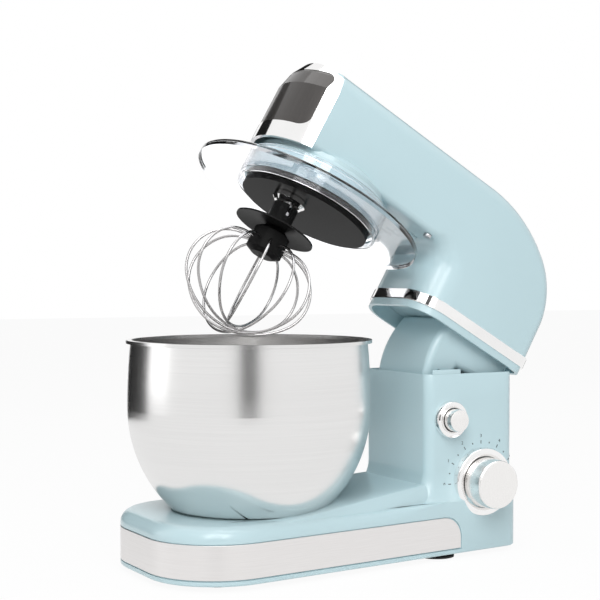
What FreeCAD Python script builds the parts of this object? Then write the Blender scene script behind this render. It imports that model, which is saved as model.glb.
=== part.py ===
"""Tilt-head stand mixer with a 3 litre bowl: a parametric document, one object for each piece.

Frame: millimetres, +Z up, +X towards the speed knob, the bowl at -Y. The origin is on the table,
under the middle of the whole machine. Head pieces are drawn with the head closed and level, and
their placement then raises them about the hinge pin.
"""
import FreeCAD, Part
import math
import os
import Sketcher

doc = FreeCAD.newDocument("StandMixer")
sheet = doc.addObject("Spreadsheet::Sheet", "sizes")
size_rows = []
nodes = []


class Dim:
    """A length with its value now and the sheet expression that keeps it up to date."""

    def __init__(self, value, text):
        self.value = value
        self.text = text

    def join(self, other, sign, work, swap=False):
        first, second = (other, self) if swap else (self, other)
        return Dim(work(number(first), number(second)), f"({formula(first)} {sign} {formula(second)})")

    def __add__(self, other):
        return self.join(other, "+", lambda a, b: a + b)

    def __radd__(self, other):
        return self.join(other, "+", lambda a, b: a + b, True)

    def __sub__(self, other):
        return self.join(other, "-", lambda a, b: a - b)

    def __rsub__(self, other):
        return self.join(other, "-", lambda a, b: a - b, True)

    def __mul__(self, other):
        return self.join(other, "*", lambda a, b: a * b)

    def __rmul__(self, other):
        return self.join(other, "*", lambda a, b: a * b, True)

    def __truediv__(self, other):
        return self.join(other, "/", lambda a, b: a / b)

    def __neg__(self):
        return Dim(-self.value, f"(0 - {self.text})")


def number(dim):
    return dim.value if isinstance(dim, Dim) else dim


def formula(dim):
    return dim.text if isinstance(dim, Dim) else repr(dim)


def root(dim):
    return Dim(math.sqrt(number(dim)), f"sqrt({formula(dim)})")


def sine(angle):
    return Dim(math.sin(math.radians(number(angle))), f"sin({formula(angle)} * 1 deg)")


def cosine(angle):
    return Dim(math.cos(math.radians(number(angle))), f"cos({formula(angle)} * 1 deg)")


def size(name, value):
    """Add a driving dimension to the sheet."""
    row = len(size_rows) + 1
    size_rows.append(name)
    sheet.set(f"A{row}", name)
    sheet.set(f"B{row}", str(value))
    sheet.setAlias(f"B{row}", name)
    return Dim(value, f"sizes.{name}")


# ---------------------------------------------------------------- driving dimensions
bowl_y = size("bowl_axis_y", -84)
gap = size("running_gap", 0.3)
fit = size("shaft_fit", 0.05)

# base
base_bottom = size("base_bottom", 4)
base_top = size("base_top", 46)
base_wall = size("base_wall", 3)
base_half = size("base_half_width", 77.4)
base_front = size("base_front_reach", 94)
base_corner = size("base_front_corner", 55)
base_rear = size("base_rear_reach", 225.2)
base_rear_half = size("base_rear_half_width", 48.3)
rear_corner = size("base_rear_corner", 12)
crown = size("base_top_rounding", 10)
band_low = size("band_low", 8.3)
band_high = size("band_high", 33.7)
band_thick = size("band_thickness", 1.6)
band_rear = size("band_rear_end", 162)
plate_thick = size("base_plate_thickness", 2.5)
foot_radius = size("foot_radius", 15)
foot_height = size("foot_height", 4)
screw_radius = size("base_screw_radius", 2)
screw_length = size("base_screw_length", 25)
boss_out = size("screw_boss_radius", 4.5)

# column
column_half = size("column_half_width", 47)
column_front = size("column_front", 134.5)
column_top = size("column_top", 147.3)
column_back = size("column_back_at_top", 219.6)
column_corner = size("column_corner", 8)
flare = size("column_foot_flare", 9)
flare_top = size("column_foot_height", 72)

# hinge and head position
hinge_back = size("hinge_behind_bowl_axis", 210)
hinge_z = size("hinge_height", 135)
raised = size("head_raised_angle", 30)
pin_radius = size("hinge_pin_radius", 3)
ear_half = size("hinge_ear_half_width", 33)
cheek_thick = size("hinge_cheek_thickness", 3)

# head
head_half = size("head_half_width", 46)
head_wall = size("head_wall", 2.5)
head_top = size("head_top", 280)
head_shoulder = size("head_shoulder", 266)
head_bottom = size("head_bottom", 207)
shell_front = size("head_shell_front", -40)
head_back = size("head_back", 222)
head_top_end = size("head_flat_top_end", 120)
top_curve = size("head_top_curve", 122)
crest_relief = size("head_crest_relief", 2)
rear_curve = size("head_rear_curve", 69)
neck_front = size("neck_front", 103)
neck_corner = size("neck_front_corner", 28)
neck_bottom = size("neck_bottom", 151.3)
neck_band_low = size("neck_band_low", 157)
neck_band_high = size("neck_band_high", 166)
shoulder_round = size("head_shoulder_rounding", 9)
cap_bulge = size("cap_bulge", 24)
cap_wall = size("cap_wall", 3)
brow_drop = size("cap_brow_drop", 24)
brow_back = size("cap_brow_setback", 10)

# gearbox and drive
boss_radius = size("gearbox_radius", 57)
boss_bottom = size("gearbox_bottom", 184.5)
module = size("gear_module", 1.5)
ring_teeth = size("ring_teeth", 54)
planet_teeth = size("planet_teeth", 18)
main_teeth = size("main_gear_teeth", 52)
pinion_teeth = size("pinion_teeth", 16)
wheel_teeth = size("worm_wheel_teeth", 34)
wheel_module = size("worm_wheel_module", 1)
worm_radius = size("worm_radius", 5)
gear_width = size("gear_width", 8)
carrier_radius = size("carrier_radius", 53.6)
carrier_z = size("carrier_bottom", 175)
main_shaft_radius = size("main_shaft_radius", 6)
tool_shaft_radius = size("tool_shaft_radius", 4)
lay_shaft_radius = size("lay_shaft_radius", 3)
motor_shaft_radius = size("motor_shaft_radius", 2.5)
motor_z = size("motor_axis_height", 243)
motor_radius = size("motor_radius", 29)
motor_front = size("motor_front", 84)
motor_length = size("motor_length", 62)
planet_angle = size("planet_angle", -56.7)

# tools and bowl
guard_radius = size("guard_radius", 94.6)
guard_z = size("guard_height", 182)
guard_thick = size("guard_thickness", 2)
whisk_belly = size("whisk_belly_radius", 52)
whisk_tip = size("whisk_tip_height", 57)
wire_radius = size("whisk_wire_radius", 1)
wire_loops = size("whisk_loops", 6)
bowl_rim = size("bowl_rim_radius", 95)
bowl_height = size("bowl_height", 129.5)
bowl_belly = size("bowl_belly_radius", 94)
bowl_belly_z = size("bowl_belly_height", 77.5)
bowl_curve = size("bowl_lower_curve", 107)
bowl_wall = size("bowl_wall", 1)
bowl_z = size("bowl_seat_height", 47.3)
seat_radius = size("seat_radius", 60)
bowl_foot_radius = size("bowl_foot_radius", 52)
lug_reach = size("bowl_lug_reach", 4)

# controls
knob_back = size("knob_behind_bowl_axis", 186.8)
knob_z = size("knob_height", 59.1)
knob_ring = size("knob_ring_radius", 27.7)
knob_radius = size("knob_radius", 19.4)
knob_reach = size("knob_reach", 24.7)
button_back = size("button_behind_bowl_axis", 156)
button_z = size("button_height", 110.9)
button_ring = size("button_ring_radius", 15)
button_radius = size("button_radius", 9)
button_reach = size("button_reach", 14.5)
button_travel = size("button_travel", 4)
doc.recompute()

# derived places used by several pieces
hinge_y = bowl_y + hinge_back
eccentricity = module * (ring_teeth - planet_teeth) / 2
planet_x = eccentricity * cosine(planet_angle)
planet_y = eccentricity * sine(planet_angle)
wheel_radius = wheel_module * wheel_teeth / 2
lay_x = wheel_radius + worm_radius
gear_centres = module * (main_teeth + pinion_teeth) / 2
lay_y = root(gear_centres * gear_centres - lay_x * lay_x)
wall_x = column_half - base_wall
gear_floor = head_bottom + 8
main_gear_z = gear_floor + 2


# ---------------------------------------------------------------- drawing helpers
def vector(x, y, z=0):
    return FreeCAD.Vector(number(x), number(y), number(z))


def new_body(label):
    body = doc.addObject("PartDesign::Body", label)
    body.Label = label
    return body


def new_sketch(body, plane="XY_Plane", height=0):
    """A sketch on one of the body's own origin planes, moved along the plane's normal."""
    sketch = body.newObject("Sketcher::SketchObject", "sketch")
    support = next(f for f in body.Origin.OriginFeatures if f.Role == plane)
    sketch.AttachmentSupport = [(support, "")]
    sketch.MapMode = "FlatFace"
    sketch.setExpression("AttachmentOffset.Base.z", formula(height))
    return sketch


def constrain(sketch, kind, *what, to):
    row = sketch.addConstraint(Sketcher.Constraint(kind, *what, number(to)))
    if isinstance(to, Dim):
        sketch.setExpression(f"Constraints[{row}]", to.text)


def pin(sketch, geometry, point, x, y):
    constrain(sketch, "DistanceX", -1, 1, geometry, point, to=x)
    constrain(sketch, "DistanceY", -1, 1, geometry, point, to=y)


def disc(sketch, x, y, radius):
    geometry = sketch.addGeometry(Part.Circle(vector(x, y), vector(0, 0, 1), number(radius)))
    pin(sketch, geometry, 3, x, y)
    constrain(sketch, "Radius", geometry, to=radius)


def outline(sketch, points, arcs=None):
    """A closed outline; arcs[i] is the radius from point i to the next, positive if it turns left."""
    arcs = arcs or {}
    count = len(points)
    ends = []
    for i, (start, end) in enumerate(zip(points, points[1:] + points[:1])):
        a, b = vector(*start), vector(*end)
        if i not in arcs:
            geometry = sketch.addGeometry(Part.LineSegment(a, b))
            ends.append((geometry, 1, 2))
            continue
        radius = number(arcs[i])
        turns_left = radius > 0
        if not turns_left:
            a, b = b, a
        chord = b - a
        rise = math.sqrt(max(radius * radius - chord.Length ** 2 / 4, 0))
        centre = (a + b) / 2 + vector(-chord.y, chord.x) / chord.Length * rise
        from_angle = math.atan2(a.y - centre.y, a.x - centre.x)
        to_angle = math.atan2(b.y - centre.y, b.x - centre.x)
        if to_angle < from_angle:
            to_angle += 2 * math.pi
        circle = Part.Circle(centre, vector(0, 0, 1), abs(radius))
        geometry = sketch.addGeometry(Part.ArcOfCircle(circle, from_angle, to_angle))
        ends.append((geometry, 1, 2) if turns_left else (geometry, 2, 1))
    for i in range(count):
        geometry, _, last = ends[i]
        following, first, _ = ends[(i + 1) % count]
        sketch.addConstraint(Sketcher.Constraint("Coincident", geometry, last, following, first))
        pin(sketch, ends[i][0], ends[i][1], *points[i])
    for i, radius in arcs.items():
        size_of_arc = radius if number(radius) > 0 else -radius
        constrain(sketch, "Radius", ends[i][0], to=size_of_arc)


def belt(sketch, corners):
    """Tangent arcs and lines round the corner circles (x, y, radius), listed anticlockwise."""
    spots = [tuple(number(v) for v in corner) for corner in corners]
    count = len(spots)
    normals = []
    for (x0, y0, r0), (x1, y1, r1) in zip(spots, spots[1:] + spots[:1]):
        run = math.atan2(y1 - y0, x1 - x0)
        normals.append(run - math.acos((r0 - r1) / math.hypot(x1 - x0, y1 - y0)))
    arcs, lines = [], []
    for i, (x, y, r) in enumerate(spots):
        start, end = normals[i - 1], normals[i]
        while end < start:
            end += 2 * math.pi
        while end > start + 2 * math.pi:
            end -= 2 * math.pi
        circle = Part.Circle(vector(x, y), vector(0, 0, 1), r)
        arcs.append(sketch.addGeometry(Part.ArcOfCircle(circle, start, end)))
    for i, (x0, y0, r0) in enumerate(spots):
        x1, y1, r1 = spots[(i + 1) % count]
        out = vector(math.cos(normals[i]), math.sin(normals[i]))
        line = Part.LineSegment(vector(x0, y0) + out * r0, vector(x1, y1) + out * r1)
        lines.append(sketch.addGeometry(line))
    for i, corner in enumerate(corners):
        following = arcs[(i + 1) % count]
        sketch.addConstraint(Sketcher.Constraint("Tangent", arcs[i], 2, lines[i], 1))
        sketch.addConstraint(Sketcher.Constraint("Tangent", lines[i], 2, following, 1))
        pin(sketch, arcs[i], 3, corner[0], corner[1])
        constrain(sketch, "Radius", arcs[i], to=corner[2])


def box_corners(half_x, y0, y1, radius):
    """The four corner circles of a rounded rectangle that is centred on X."""
    x = half_x - radius
    low, high = y0 + radius, y1 - radius
    return [(x, low, radius), (x, high, radius), (-x, high, radius), (-x, low, radius)]


def neck_plan(sketch, inset):
    """The neck's plan: broad round corners in front, and square ones at the head's flat back."""
    half, turn = head_half - inset, neck_corner - inset
    near, far = bowl_y + neck_front + inset, bowl_y + head_back - inset
    outline(sketch, [(-half + turn, near), (half - turn, near), (half, near + turn),
                     (half, far), (-half, far), (-half, near + turn)], {1: turn, 5: turn})


def feature(body, kind, sketch, length, reverse=False):
    thing = body.newObject(f"PartDesign::{kind}", kind.lower())
    thing.Profile = sketch
    thing.setExpression("Length", formula(length))
    thing.Reversed = reverse
    return thing


def slab(body, low, high, draw):
    """Pad whatever draw(sketch) draws, from height low to height high."""
    sketch = new_sketch(body, height=low)
    draw(sketch)
    return feature(body, "Pad", sketch, high - low)


def sink(body, low, high, draw):
    """Cut whatever draw(sketch) draws, from height low to height high."""
    sketch = new_sketch(body, height=low)
    draw(sketch)
    return feature(body, "Pocket", sketch, high - low, reverse=True)


def side_cut(body, x0, x1, draw):
    """Cut along X what draw(sketch) draws with Y across and Z up."""
    sketch = new_sketch(body, "YZ_Plane", x0)
    draw(sketch)
    return feature(body, "Pocket", sketch, x1 - x0, reverse=True)


def loft(body, kind, *sections):
    sketches = []
    for height, corners in sections:
        sketch = new_sketch(body, height=height)
        belt(sketch, corners)
        sketches.append(sketch)
    thing = body.newObject(f"PartDesign::{kind}", kind.lower())
    thing.Profile = sketches[0]
    thing.Sections = sketches[1:]
    thing.Ruled = True
    return thing


def fillet(body, edges, radius):
    before = body.Tip
    rounding = body.newObject("PartDesign::Fillet", "rounding")
    rounding.Base = (before, edges)
    rounding.setExpression("Radius", formula(radius))


def lathe(label, axis, profile, arcs=None):
    """A turned piece; the profile's points are (distance from the axis, place along it)."""
    body = new_body(label)
    sketch = new_sketch(body, "XZ_Plane" if axis == "Z" else "XY_Plane")
    points = [(along, r) for r, along in profile] if axis == "X" else profile
    outline(sketch, points, arcs)
    turned = body.newObject("PartDesign::Revolution", "turned")
    turned.Profile = sketch
    turned.ReferenceAxis = (sketch, ["H_Axis" if axis == "X" else "V_Axis"])
    turned.Angle = 360
    return body


def tube(label, axis, inner, outer, start, end):
    return lathe(label, axis, [(inner, start), (outer, start), (outer, end), (inner, end)])


def boolean(kind, label, first, *others):
    """Part::Cut, Part::Common (two shapes) or Part::MultiFuse."""
    thing = doc.addObject(f"Part::{kind}", label)
    if kind == "MultiFuse":
        thing.Shapes = [first, *others]
    else:
        thing.Base, thing.Tool = first, others[0]
    thing.Label = label
    return thing


def place(thing, x=0, y=0, z=0, on_head=False, turn=None):
    """Put a finished piece in the machine and keep it for export.

    A head piece is given by its place with the head closed. turn is a rotation about Z.
    """
    if on_head:
        thing.Placement = FreeCAD.Placement(vector(0, 0), FreeCAD.Rotation(vector(-1, 0, 0), 1))
        thing.setExpression("Placement.Rotation.Angle", raised.text)
        back, up = y - hinge_y, z - hinge_z
        y = hinge_y + back * cosine(raised) + up * sine(raised)
        z = hinge_z + up * cosine(raised) - back * sine(raised)
    elif turn is not None:
        thing.Placement = FreeCAD.Placement(vector(0, 0), FreeCAD.Rotation(vector(0, 0, 1), 1))
        thing.setExpression("Placement.Rotation.Angle", formula(turn))
    thing.setExpression("Placement.Base.x", formula(x))
    thing.setExpression("Placement.Base.y", formula(y))
    thing.setExpression("Placement.Base.z", formula(z))
    nodes.append(thing)
    return thing


def solid(label, shape):
    """A piece whose shape comes from a formula; its sizes are read from the sheet by the caller."""
    thing = doc.addObject("Part::Feature", label)
    thing.Label = label
    thing.Shape = shape
    return thing


# ---------------------------------------------------------------- base, column and feet
def base_corners(inset):
    """Corner circles of the base's plan: round in front, tapering to the column's width."""
    front_x, front_y = base_half - base_corner, bowl_y - base_front + base_corner
    rear_x, rear_y = base_rear_half - rear_corner, bowl_y + base_rear - rear_corner
    front_r, rear_r = base_corner - inset, rear_corner - inset
    return [(front_x, front_y, front_r), (rear_x, rear_y, rear_r),
            (-rear_x, rear_y, rear_r), (-front_x, front_y, front_r)]


def column_corners(inset, back):
    front = bowl_y + column_front + inset
    return box_corners(column_half - inset, front, bowl_y + back - inset, column_corner - inset)


def flare_corners():
    """The foot of the column: wider in front, and in line with the base's corners at the rear."""
    x, y = column_half + flare - column_corner, bowl_y + column_front - flare + column_corner
    _, (rear_x, rear_y, _), _, _ = base_corners(0)
    return [(x, y, column_corner), (rear_x, rear_y, rear_corner),
            (-rear_x, rear_y, rear_corner), (-x, y, column_corner)]


def trim_body(label, inner, outer, low, high, rear):
    """A strip that follows the base round the front and both sides, as far back as rear."""
    body = new_body(label)

    def section(sketch):
        belt(sketch, base_corners(outer))
        belt(sketch, base_corners(inner))

    slab(body, low, high, section)
    beyond = base_rear + base_front
    sink(body, low - 1, high + 1, lambda sketch: outline(sketch, [
        (-base_half * 2, bowl_y + rear), (base_half * 2, bowl_y + rear),
        (base_half * 2, bowl_y + beyond), (-base_half * 2, bowl_y + beyond)]))
    return body


def make_base_housing():
    body = new_body("base_form")
    slab(body, base_bottom, base_top, lambda sketch: belt(sketch, base_corners(0)))
    doc.recompute()
    top_edges = [f"Edge{i + 1}" for i, edge in enumerate(body.Shape.Edges)
                 if edge.BoundBox.ZMin > number(base_top) - 0.01]
    fillet(body, top_edges, crown)
    loft(body, "AdditiveLoft", (band_high - base_wall, column_corners(0, base_rear)),
         (column_top, column_corners(0, column_back)))
    loft(body, "AdditiveLoft", (band_high - base_wall, flare_corners()),
         (flare_top, column_corners(0, base_rear - (base_rear - column_back) / 2)))
    under_top = base_top - base_wall
    sink(body, base_bottom, under_top, lambda sketch: belt(sketch, base_corners(base_wall + band_thick)))
    for x, y in base_screw_places():
        slab(body, base_bottom + 1 + plate_thick, under_top + 1,
             lambda sketch: (disc(sketch, x, y, boss_out), disc(sketch, x, y, screw_radius + fit)))
    loft(body, "SubtractiveLoft", (base_bottom + 1, column_corners(base_wall, base_rear - 2)),
         (column_top + 0.01, column_corners(base_wall, column_back)))
    sink(body, under_top - 1, base_top + 1, lambda sketch: disc(sketch, 0, bowl_y, seat_radius))
    bezel = knob_ring - 4
    side_cut(body, wall_x - 1, column_half + flare,
             lambda sketch: disc(sketch, bowl_y + knob_back, knob_z, bezel))
    side_cut(body, wall_x - 1, column_half + 1,
             lambda sketch: disc(sketch, bowl_y + button_back, button_z, button_ring - 3))
    side_cut(body, column_half, column_half + flare + 1, lambda sketch: disc(
        sketch, bowl_y + knob_back, knob_z, knob_ring + 0.5))
    inlet = new_sketch(body, "XZ_Plane", -(bowl_y + base_rear - 12))
    disc(inlet, -20, base_bottom + 16, 6.5)
    feature(body, "Pocket", inlet, 20, reverse=False)
    recess = trim_body("band_recess", band_thick, -2, band_low - gap / 2, band_high + gap / 2,
                       band_rear + gap / 2)
    place(boolean("Cut", "base_housing", body, recess))


def foot_places():
    """Two feet near the front and two under the column."""
    return [(-42, bowl_y - 48), (42, bowl_y - 48), (-36, bowl_y + 150), (36, bowl_y + 150)]


def base_screw_places():
    return [(-64, bowl_y - 30), (64, bowl_y - 30), (-38, bowl_y + 105), (38, bowl_y + 105)]


def make_underside():
    rim = base_wall + band_thick + gap
    plate = new_body("base_plate")
    slab(plate, base_bottom + 1, base_bottom + 1 + plate_thick, lambda s: belt(s, base_corners(rim)))
    for x, y in foot_places():
        sink(plate, base_bottom, base_bottom + 2 + plate_thick, lambda s: disc(s, x, y, 4.2))
    for x, y in base_screw_places():
        sink(plate, base_bottom, base_bottom + 2 + plate_thick, lambda s: disc(s, x, y, screw_radius + 0.2))
    place(plate)

    feet = []
    for x, y in foot_places():
        foot = lathe("suction_foot", "Z", [
            (0, 2.2), (foot_radius * 0.55, 2.2), (foot_radius - 2, 0), (foot_radius, 0), (foot_radius, 1.2),
            (foot_radius * 0.6, foot_height + 1), (4, foot_height + 1),
            (4, foot_height + 1 + plate_thick), (6, foot_height + 1 + plate_thick),
            (4, foot_height + 4 + plate_thick), (0, foot_height + 4 + plate_thick)])
        foot.setExpression("Placement.Base.x", formula(x))
        foot.setExpression("Placement.Base.y", formula(y))
        feet.append(foot)
    place(boolean("MultiFuse", "suction_feet", *feet))

    screws = []
    for x, y in base_screw_places():
        low, seat = base_bottom - 1.2, base_bottom + 1
        screw = lathe("base_screw", "Z", [
            (0, low), (4, low), (4, seat), (screw_radius, seat),
            (screw_radius, seat + screw_length), (0, seat + screw_length)])
        screw.setExpression("Placement.Base.x", formula(x))
        screw.setExpression("Placement.Base.y", formula(y))
        screws.append(screw)
    place(boolean("MultiFuse", "base_screws", *screws))

    inlet_y = bowl_y + base_rear
    place(lathe("cord_grommet", "Y", [
        (2.8, inlet_y - 14), (6.4, inlet_y - 14), (6.4, inlet_y), (8.5, inlet_y), (7.5, inlet_y + 2.5),
        (2.8, inlet_y + 2.5)]), x=-20, z=base_bottom + 16)


def make_trim_band():
    place(trim_body("base_trim_band", band_thick - 0.01, 0, band_low, band_high, band_rear))


def bayonet_arcs(body, low, high, inner, outer, spread, start):
    """Three equal tongues between two radii, each spread degrees wide, as sector pads."""
    for turn in range(3):
        sketch = new_sketch(body, height=low)
        angles = (start + 120 * turn, start + 120 * turn + spread)
        corners = [(r * cosine(a), r * sine(a)) for r, a in (
            (inner, angles[0]), (outer, angles[0]), (outer, angles[1]), (inner, angles[1]))]
        outline(sketch, corners, {1: outer, 3: -inner})
        feature(body, "Pad", sketch, high - low)


def make_bowl_seat():
    """A cup in the base's top whose three lips hold the bowl's foot down."""
    body = new_body("bowl_seat")
    floor_z = base_top - 8
    under = base_top - base_wall
    mouth = bowl_foot_radius + lug_reach + 1
    outer = seat_radius - gap
    sketch = new_sketch(body, "XZ_Plane")
    outline(sketch, [(8, floor_z), (outer + 5, floor_z), (outer + 5, under), (outer, under),
                     (outer, base_top + 0.3), (mouth, base_top + 0.3), (mouth, floor_z + 1.5),
                     (8, floor_z + 1.5)])
    turned = body.newObject("PartDesign::Revolution", "turned")
    turned.Profile = sketch
    turned.ReferenceAxis = (sketch, ["V_Axis"])
    bayonet_arcs(body, base_top - 2.2, base_top + 0.3, bowl_foot_radius + 1, mouth + 1, 56, 62)
    place(body, y=bowl_y)


# ---------------------------------------------------------------- bowl
def make_bowl():
    centre_r = bowl_belly - bowl_curve
    floor_r = centre_r + root(bowl_curve * bowl_curve - bowl_belly_z * bowl_belly_z)
    inner_curve = bowl_curve - bowl_wall
    inner_rise = bowl_belly_z - bowl_wall
    inner_floor_r = centre_r + root(inner_curve * inner_curve - inner_rise * inner_rise)
    neck_r = bowl_rim - 3.4
    upper = 511
    rim_low = bowl_height - 2.5
    body = lathe("mixing_bowl", "Z", [
        (0, 0), (floor_r, 0), (bowl_belly, bowl_belly_z), (neck_r, rim_low), (bowl_rim, rim_low),
        (bowl_rim, bowl_height), (neck_r - bowl_wall, bowl_height), (neck_r - bowl_wall, rim_low),
        (bowl_belly - bowl_wall, bowl_belly_z), (inner_floor_r, bowl_wall), (0, bowl_wall)],
        {1: bowl_curve, 2: upper, 7: -(upper - bowl_wall), 8: -inner_curve})
    place(body, y=bowl_y, z=bowl_z)

    foot = new_body("bowl_foot")
    low = base_top - 6.2 - bowl_z
    sketch = new_sketch(foot, "XZ_Plane")
    outline(sketch, [(bowl_foot_radius - 3, low), (bowl_foot_radius, low), (bowl_foot_radius, 0),
                     (bowl_foot_radius - 3, 0)])
    ring = foot.newObject("PartDesign::Revolution", "ring")
    ring.Profile = sketch
    ring.ReferenceAxis = (sketch, ["V_Axis"])
    bayonet_arcs(foot, low, low + 3, bowl_foot_radius - 0.5, bowl_foot_radius + lug_reach, 40, 10)
    place(foot, y=bowl_y, z=bowl_z)


# ---------------------------------------------------------------- controls on the column
def make_controls():
    knob_y, button_y = bowl_y + knob_back, bowl_y + button_back
    face = column_half
    place(lathe("knob_ring", "X", [
        (knob_radius + gap + 1, wall_x), (knob_ring - 4.3, wall_x), (knob_ring - 4.3, face),
        (knob_ring, face), (knob_ring, face + 4), (knob_ring - 3, face + 7),
        (knob_radius + gap + 1, face + 7)]), y=knob_y, z=knob_z)
    stem = 3
    knob = lathe("speed_knob", "X", [
        (stem + fit, face - 1), (knob_radius + 1, face - 1), (knob_radius + 1, face + 9),
        (knob_radius, face + knob_reach - 2), (knob_radius - 2, face + knob_reach),
        (0, face + knob_reach), (0, face + 12), (stem + fit, face + 12)])
    place(knob, y=knob_y, z=knob_z)
    place(lathe("knob_shaft", "X", [
        (0, wall_x - 6), (stem, wall_x - 6), (stem, face + 12), (0, face + 12)]), y=knob_y, z=knob_z)

    switch = new_body("speed_switch")
    sketch = new_sketch(switch, "YZ_Plane", wall_x - 25.4)
    belt(sketch, [(14, -14, 2), (14, 14, 2), (-14, 14, 2), (-14, -14, 2)])
    feature(switch, "Pad", sketch, 19.4)
    collar = new_sketch(switch, "YZ_Plane", wall_x - 6)
    disc(collar, 0, 0, knob_ring - 5)
    disc(collar, 0, 0, stem + fit)
    feature(switch, "Pad", collar, 4)
    place(switch, y=knob_y, z=knob_z)

    board = new_body("control_board")
    sketch = new_sketch(board, "YZ_Plane", wall_x - 27)
    belt(sketch, [(20, -20, 2), (20, 26, 2), (-44, 26, 2), (-44, -20, 2)])
    feature(board, "Pad", sketch, 1.6)
    for y, z, half, tall in ((-34, 12, 6, 14), (-22, -6, 3, 9), (-33, -10, 3, 12)):
        part_sketch = new_sketch(board, "YZ_Plane", wall_x - 25.6)
        belt(part_sketch, [(y + half, z - half, 1), (y + half, z + half, 1),
                           (y - half, z + half, 1), (y - half, z - half, 1)])
        feature(board, "Pad", part_sketch, tall)
    place(board, y=knob_y, z=knob_z)

    place(lathe("button_ring", "X", [
        (button_radius + gap + 0.6, wall_x - 3), (button_ring - 3.3, wall_x - 3),
        (button_ring - 3.3, face), (button_ring, face), (button_ring, face + 3),
        (button_ring - 2.5, face + 6), (button_radius + gap + 0.6, face + 6)]),
        y=button_y, z=button_z)
    tip = face + button_reach
    place(lathe("release_button", "X", [
        (0, wall_x - 14), (2.5, wall_x - 14), (2.5, wall_x - 1), (button_radius, wall_x - 1),
        (button_radius, tip - 1.5), (button_radius - 1.5, tip), (0, tip)]), y=button_y, z=button_z)


def coil_spring(label, start, end, radius, wire, turns):
    """A compression spring along X, its touching coils drawn as one ridged sleeve."""
    pitch = (end - start) / turns
    ridges = []
    for turn in range(turns):
        near = start + pitch * turn
        ridges += [(radius - wire, near), (radius, near + pitch / 2)]
    return lathe(label, "X", [(radius - 2 * wire, start), *ridges, (radius - wire, end),
                              (radius - 2 * wire, end)])


def make_latch():
    """The button's stem carries a bar that holds the head; a coil behind it pushes it out."""
    button_y = bowl_y + button_back
    stem_end, stem = wall_x - 14, 2.5
    bar = new_body("latch_bar")
    bar_length = 26 + button_travel
    sketch = new_sketch(bar, "YZ_Plane", stem_end - bar_length)
    belt(sketch, [(6, -5, 1), (6, 5, 1), (-6, 5, 1), (-6, -5, 1)])
    feature(bar, "Pad", sketch, bar_length)
    place(bar, y=button_y, z=button_z)
    guide = new_body("latch_guide")
    for start, thick, slot in ((stem_end - 24, 8, True), (stem_end + 0.5, 2, False)):
        sketch = new_sketch(guide, "YZ_Plane", start)
        belt(sketch, [(9, -8, 2), (9, 8, 2), (-9, 8, 2), (-9, -8, 2)])
        if slot:
            belt(sketch, [(6 + gap, -5 - gap, 1), (6 + gap, 5 + gap, 1), (-6 - gap, 5 + gap, 1),
                          (-6 - gap, -5 - gap, 1)])
        else:
            disc(sketch, 0, 0, stem + gap)
        feature(guide, "Pad", sketch, thick)
    shelf = new_sketch(guide, "YZ_Plane", -wall_x)
    belt(shelf, [(10, -11, 1), (10, -8, 1), (-10, -8, 1), (-10, -11, 1)])
    feature(guide, "Pad", shelf, wall_x * 2 - 6)
    place(guide, y=button_y, z=button_z)
    spring_start, shoulder = stem_end + 2.5, wall_x - 1
    place(coil_spring("button_spring", spring_start + 0.1, shoulder - 0.1, 4.8, 0.8, 5),
          y=button_y, z=button_z)


# ---------------------------------------------------------------- hinge
def make_hinge():
    low = hinge_z - 26
    bracket = new_body("hinge_bracket")
    slab(bracket, low, low + 3, lambda s: belt(s, box_corners(wall_x, hinge_y - 24, hinge_y + 4, 2)))
    for side in (-1, 1):
        near = ear_half + gap
        start = near if side > 0 else -near - cheek_thick
        sketch = new_sketch(bracket, "YZ_Plane", start)
        belt(sketch, [(hinge_y - 16, low + 3.5, 1), (hinge_y + 3, low + 3.5, 1),
                      (hinge_y, hinge_z, 6.5), (hinge_y - 10, hinge_z - 4, 3)])
        disc(sketch, hinge_y, hinge_z, pin_radius)
        feature(bracket, "Pad", sketch, cheek_thick)
    place(bracket)
    end = ear_half + gap + cheek_thick + 3
    place(tube("hinge_pin", "X", 0, pin_radius, -end, end), y=hinge_y, z=hinge_z)

    block = new_body("neck_block")
    foot_z = neck_band_low + 3
    sketch = new_sketch(block, "YZ_Plane", -ear_half)
    belt(sketch, [(hinge_y, hinge_z, 6.2), (hinge_y - 12, foot_z, 4), (bowl_y + 150, foot_z, 4),
                  (bowl_y + 158, hinge_z - 6, 4)])
    disc(sketch, hinge_y, hinge_z, pin_radius + fit)
    feature(block, "Pad", sketch, ear_half * 2)
    inner = head_wall
    slab(block, foot_z + 3, foot_z + 7, lambda s: neck_plan(s, inner))
    sink(block, hinge_z - 20, foot_z + 10, lambda s: belt(s, box_corners(
        14, bowl_y + 156, hinge_y - 12, 4)))
    place(block, on_head=True)


# ---------------------------------------------------------------- head shell
def head_side(label, inset, front, bottom):
    """The head's side view without its neck, padded across X."""
    body = new_body(label)
    wide = head_half + 5
    sketch = new_sketch(body, "YZ_Plane", -wide)
    crest = head_top + crest_relief
    back, top = bowl_y + head_back - inset, crest - inset
    start = bowl_y + head_top_end
    swing = top_curve - rear_curve
    sine_of_join = (head_back - rear_curve - head_top_end) / swing
    cosine_of_join = root(1 - sine_of_join * sine_of_join)
    join_y = start + (top_curve - inset) * sine_of_join
    join_z = crest - top_curve + (top_curve - inset) * cosine_of_join
    outline(sketch, [(front, bottom), (back, bottom), (back, crest - top_curve + swing * cosine_of_join),
                     (join_y, join_z), (start, top), (front, top)],
            {2: rear_curve - inset, 3: top_curve - inset})
    feature(body, "Pad", sketch, wide * 2)
    return body


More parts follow.
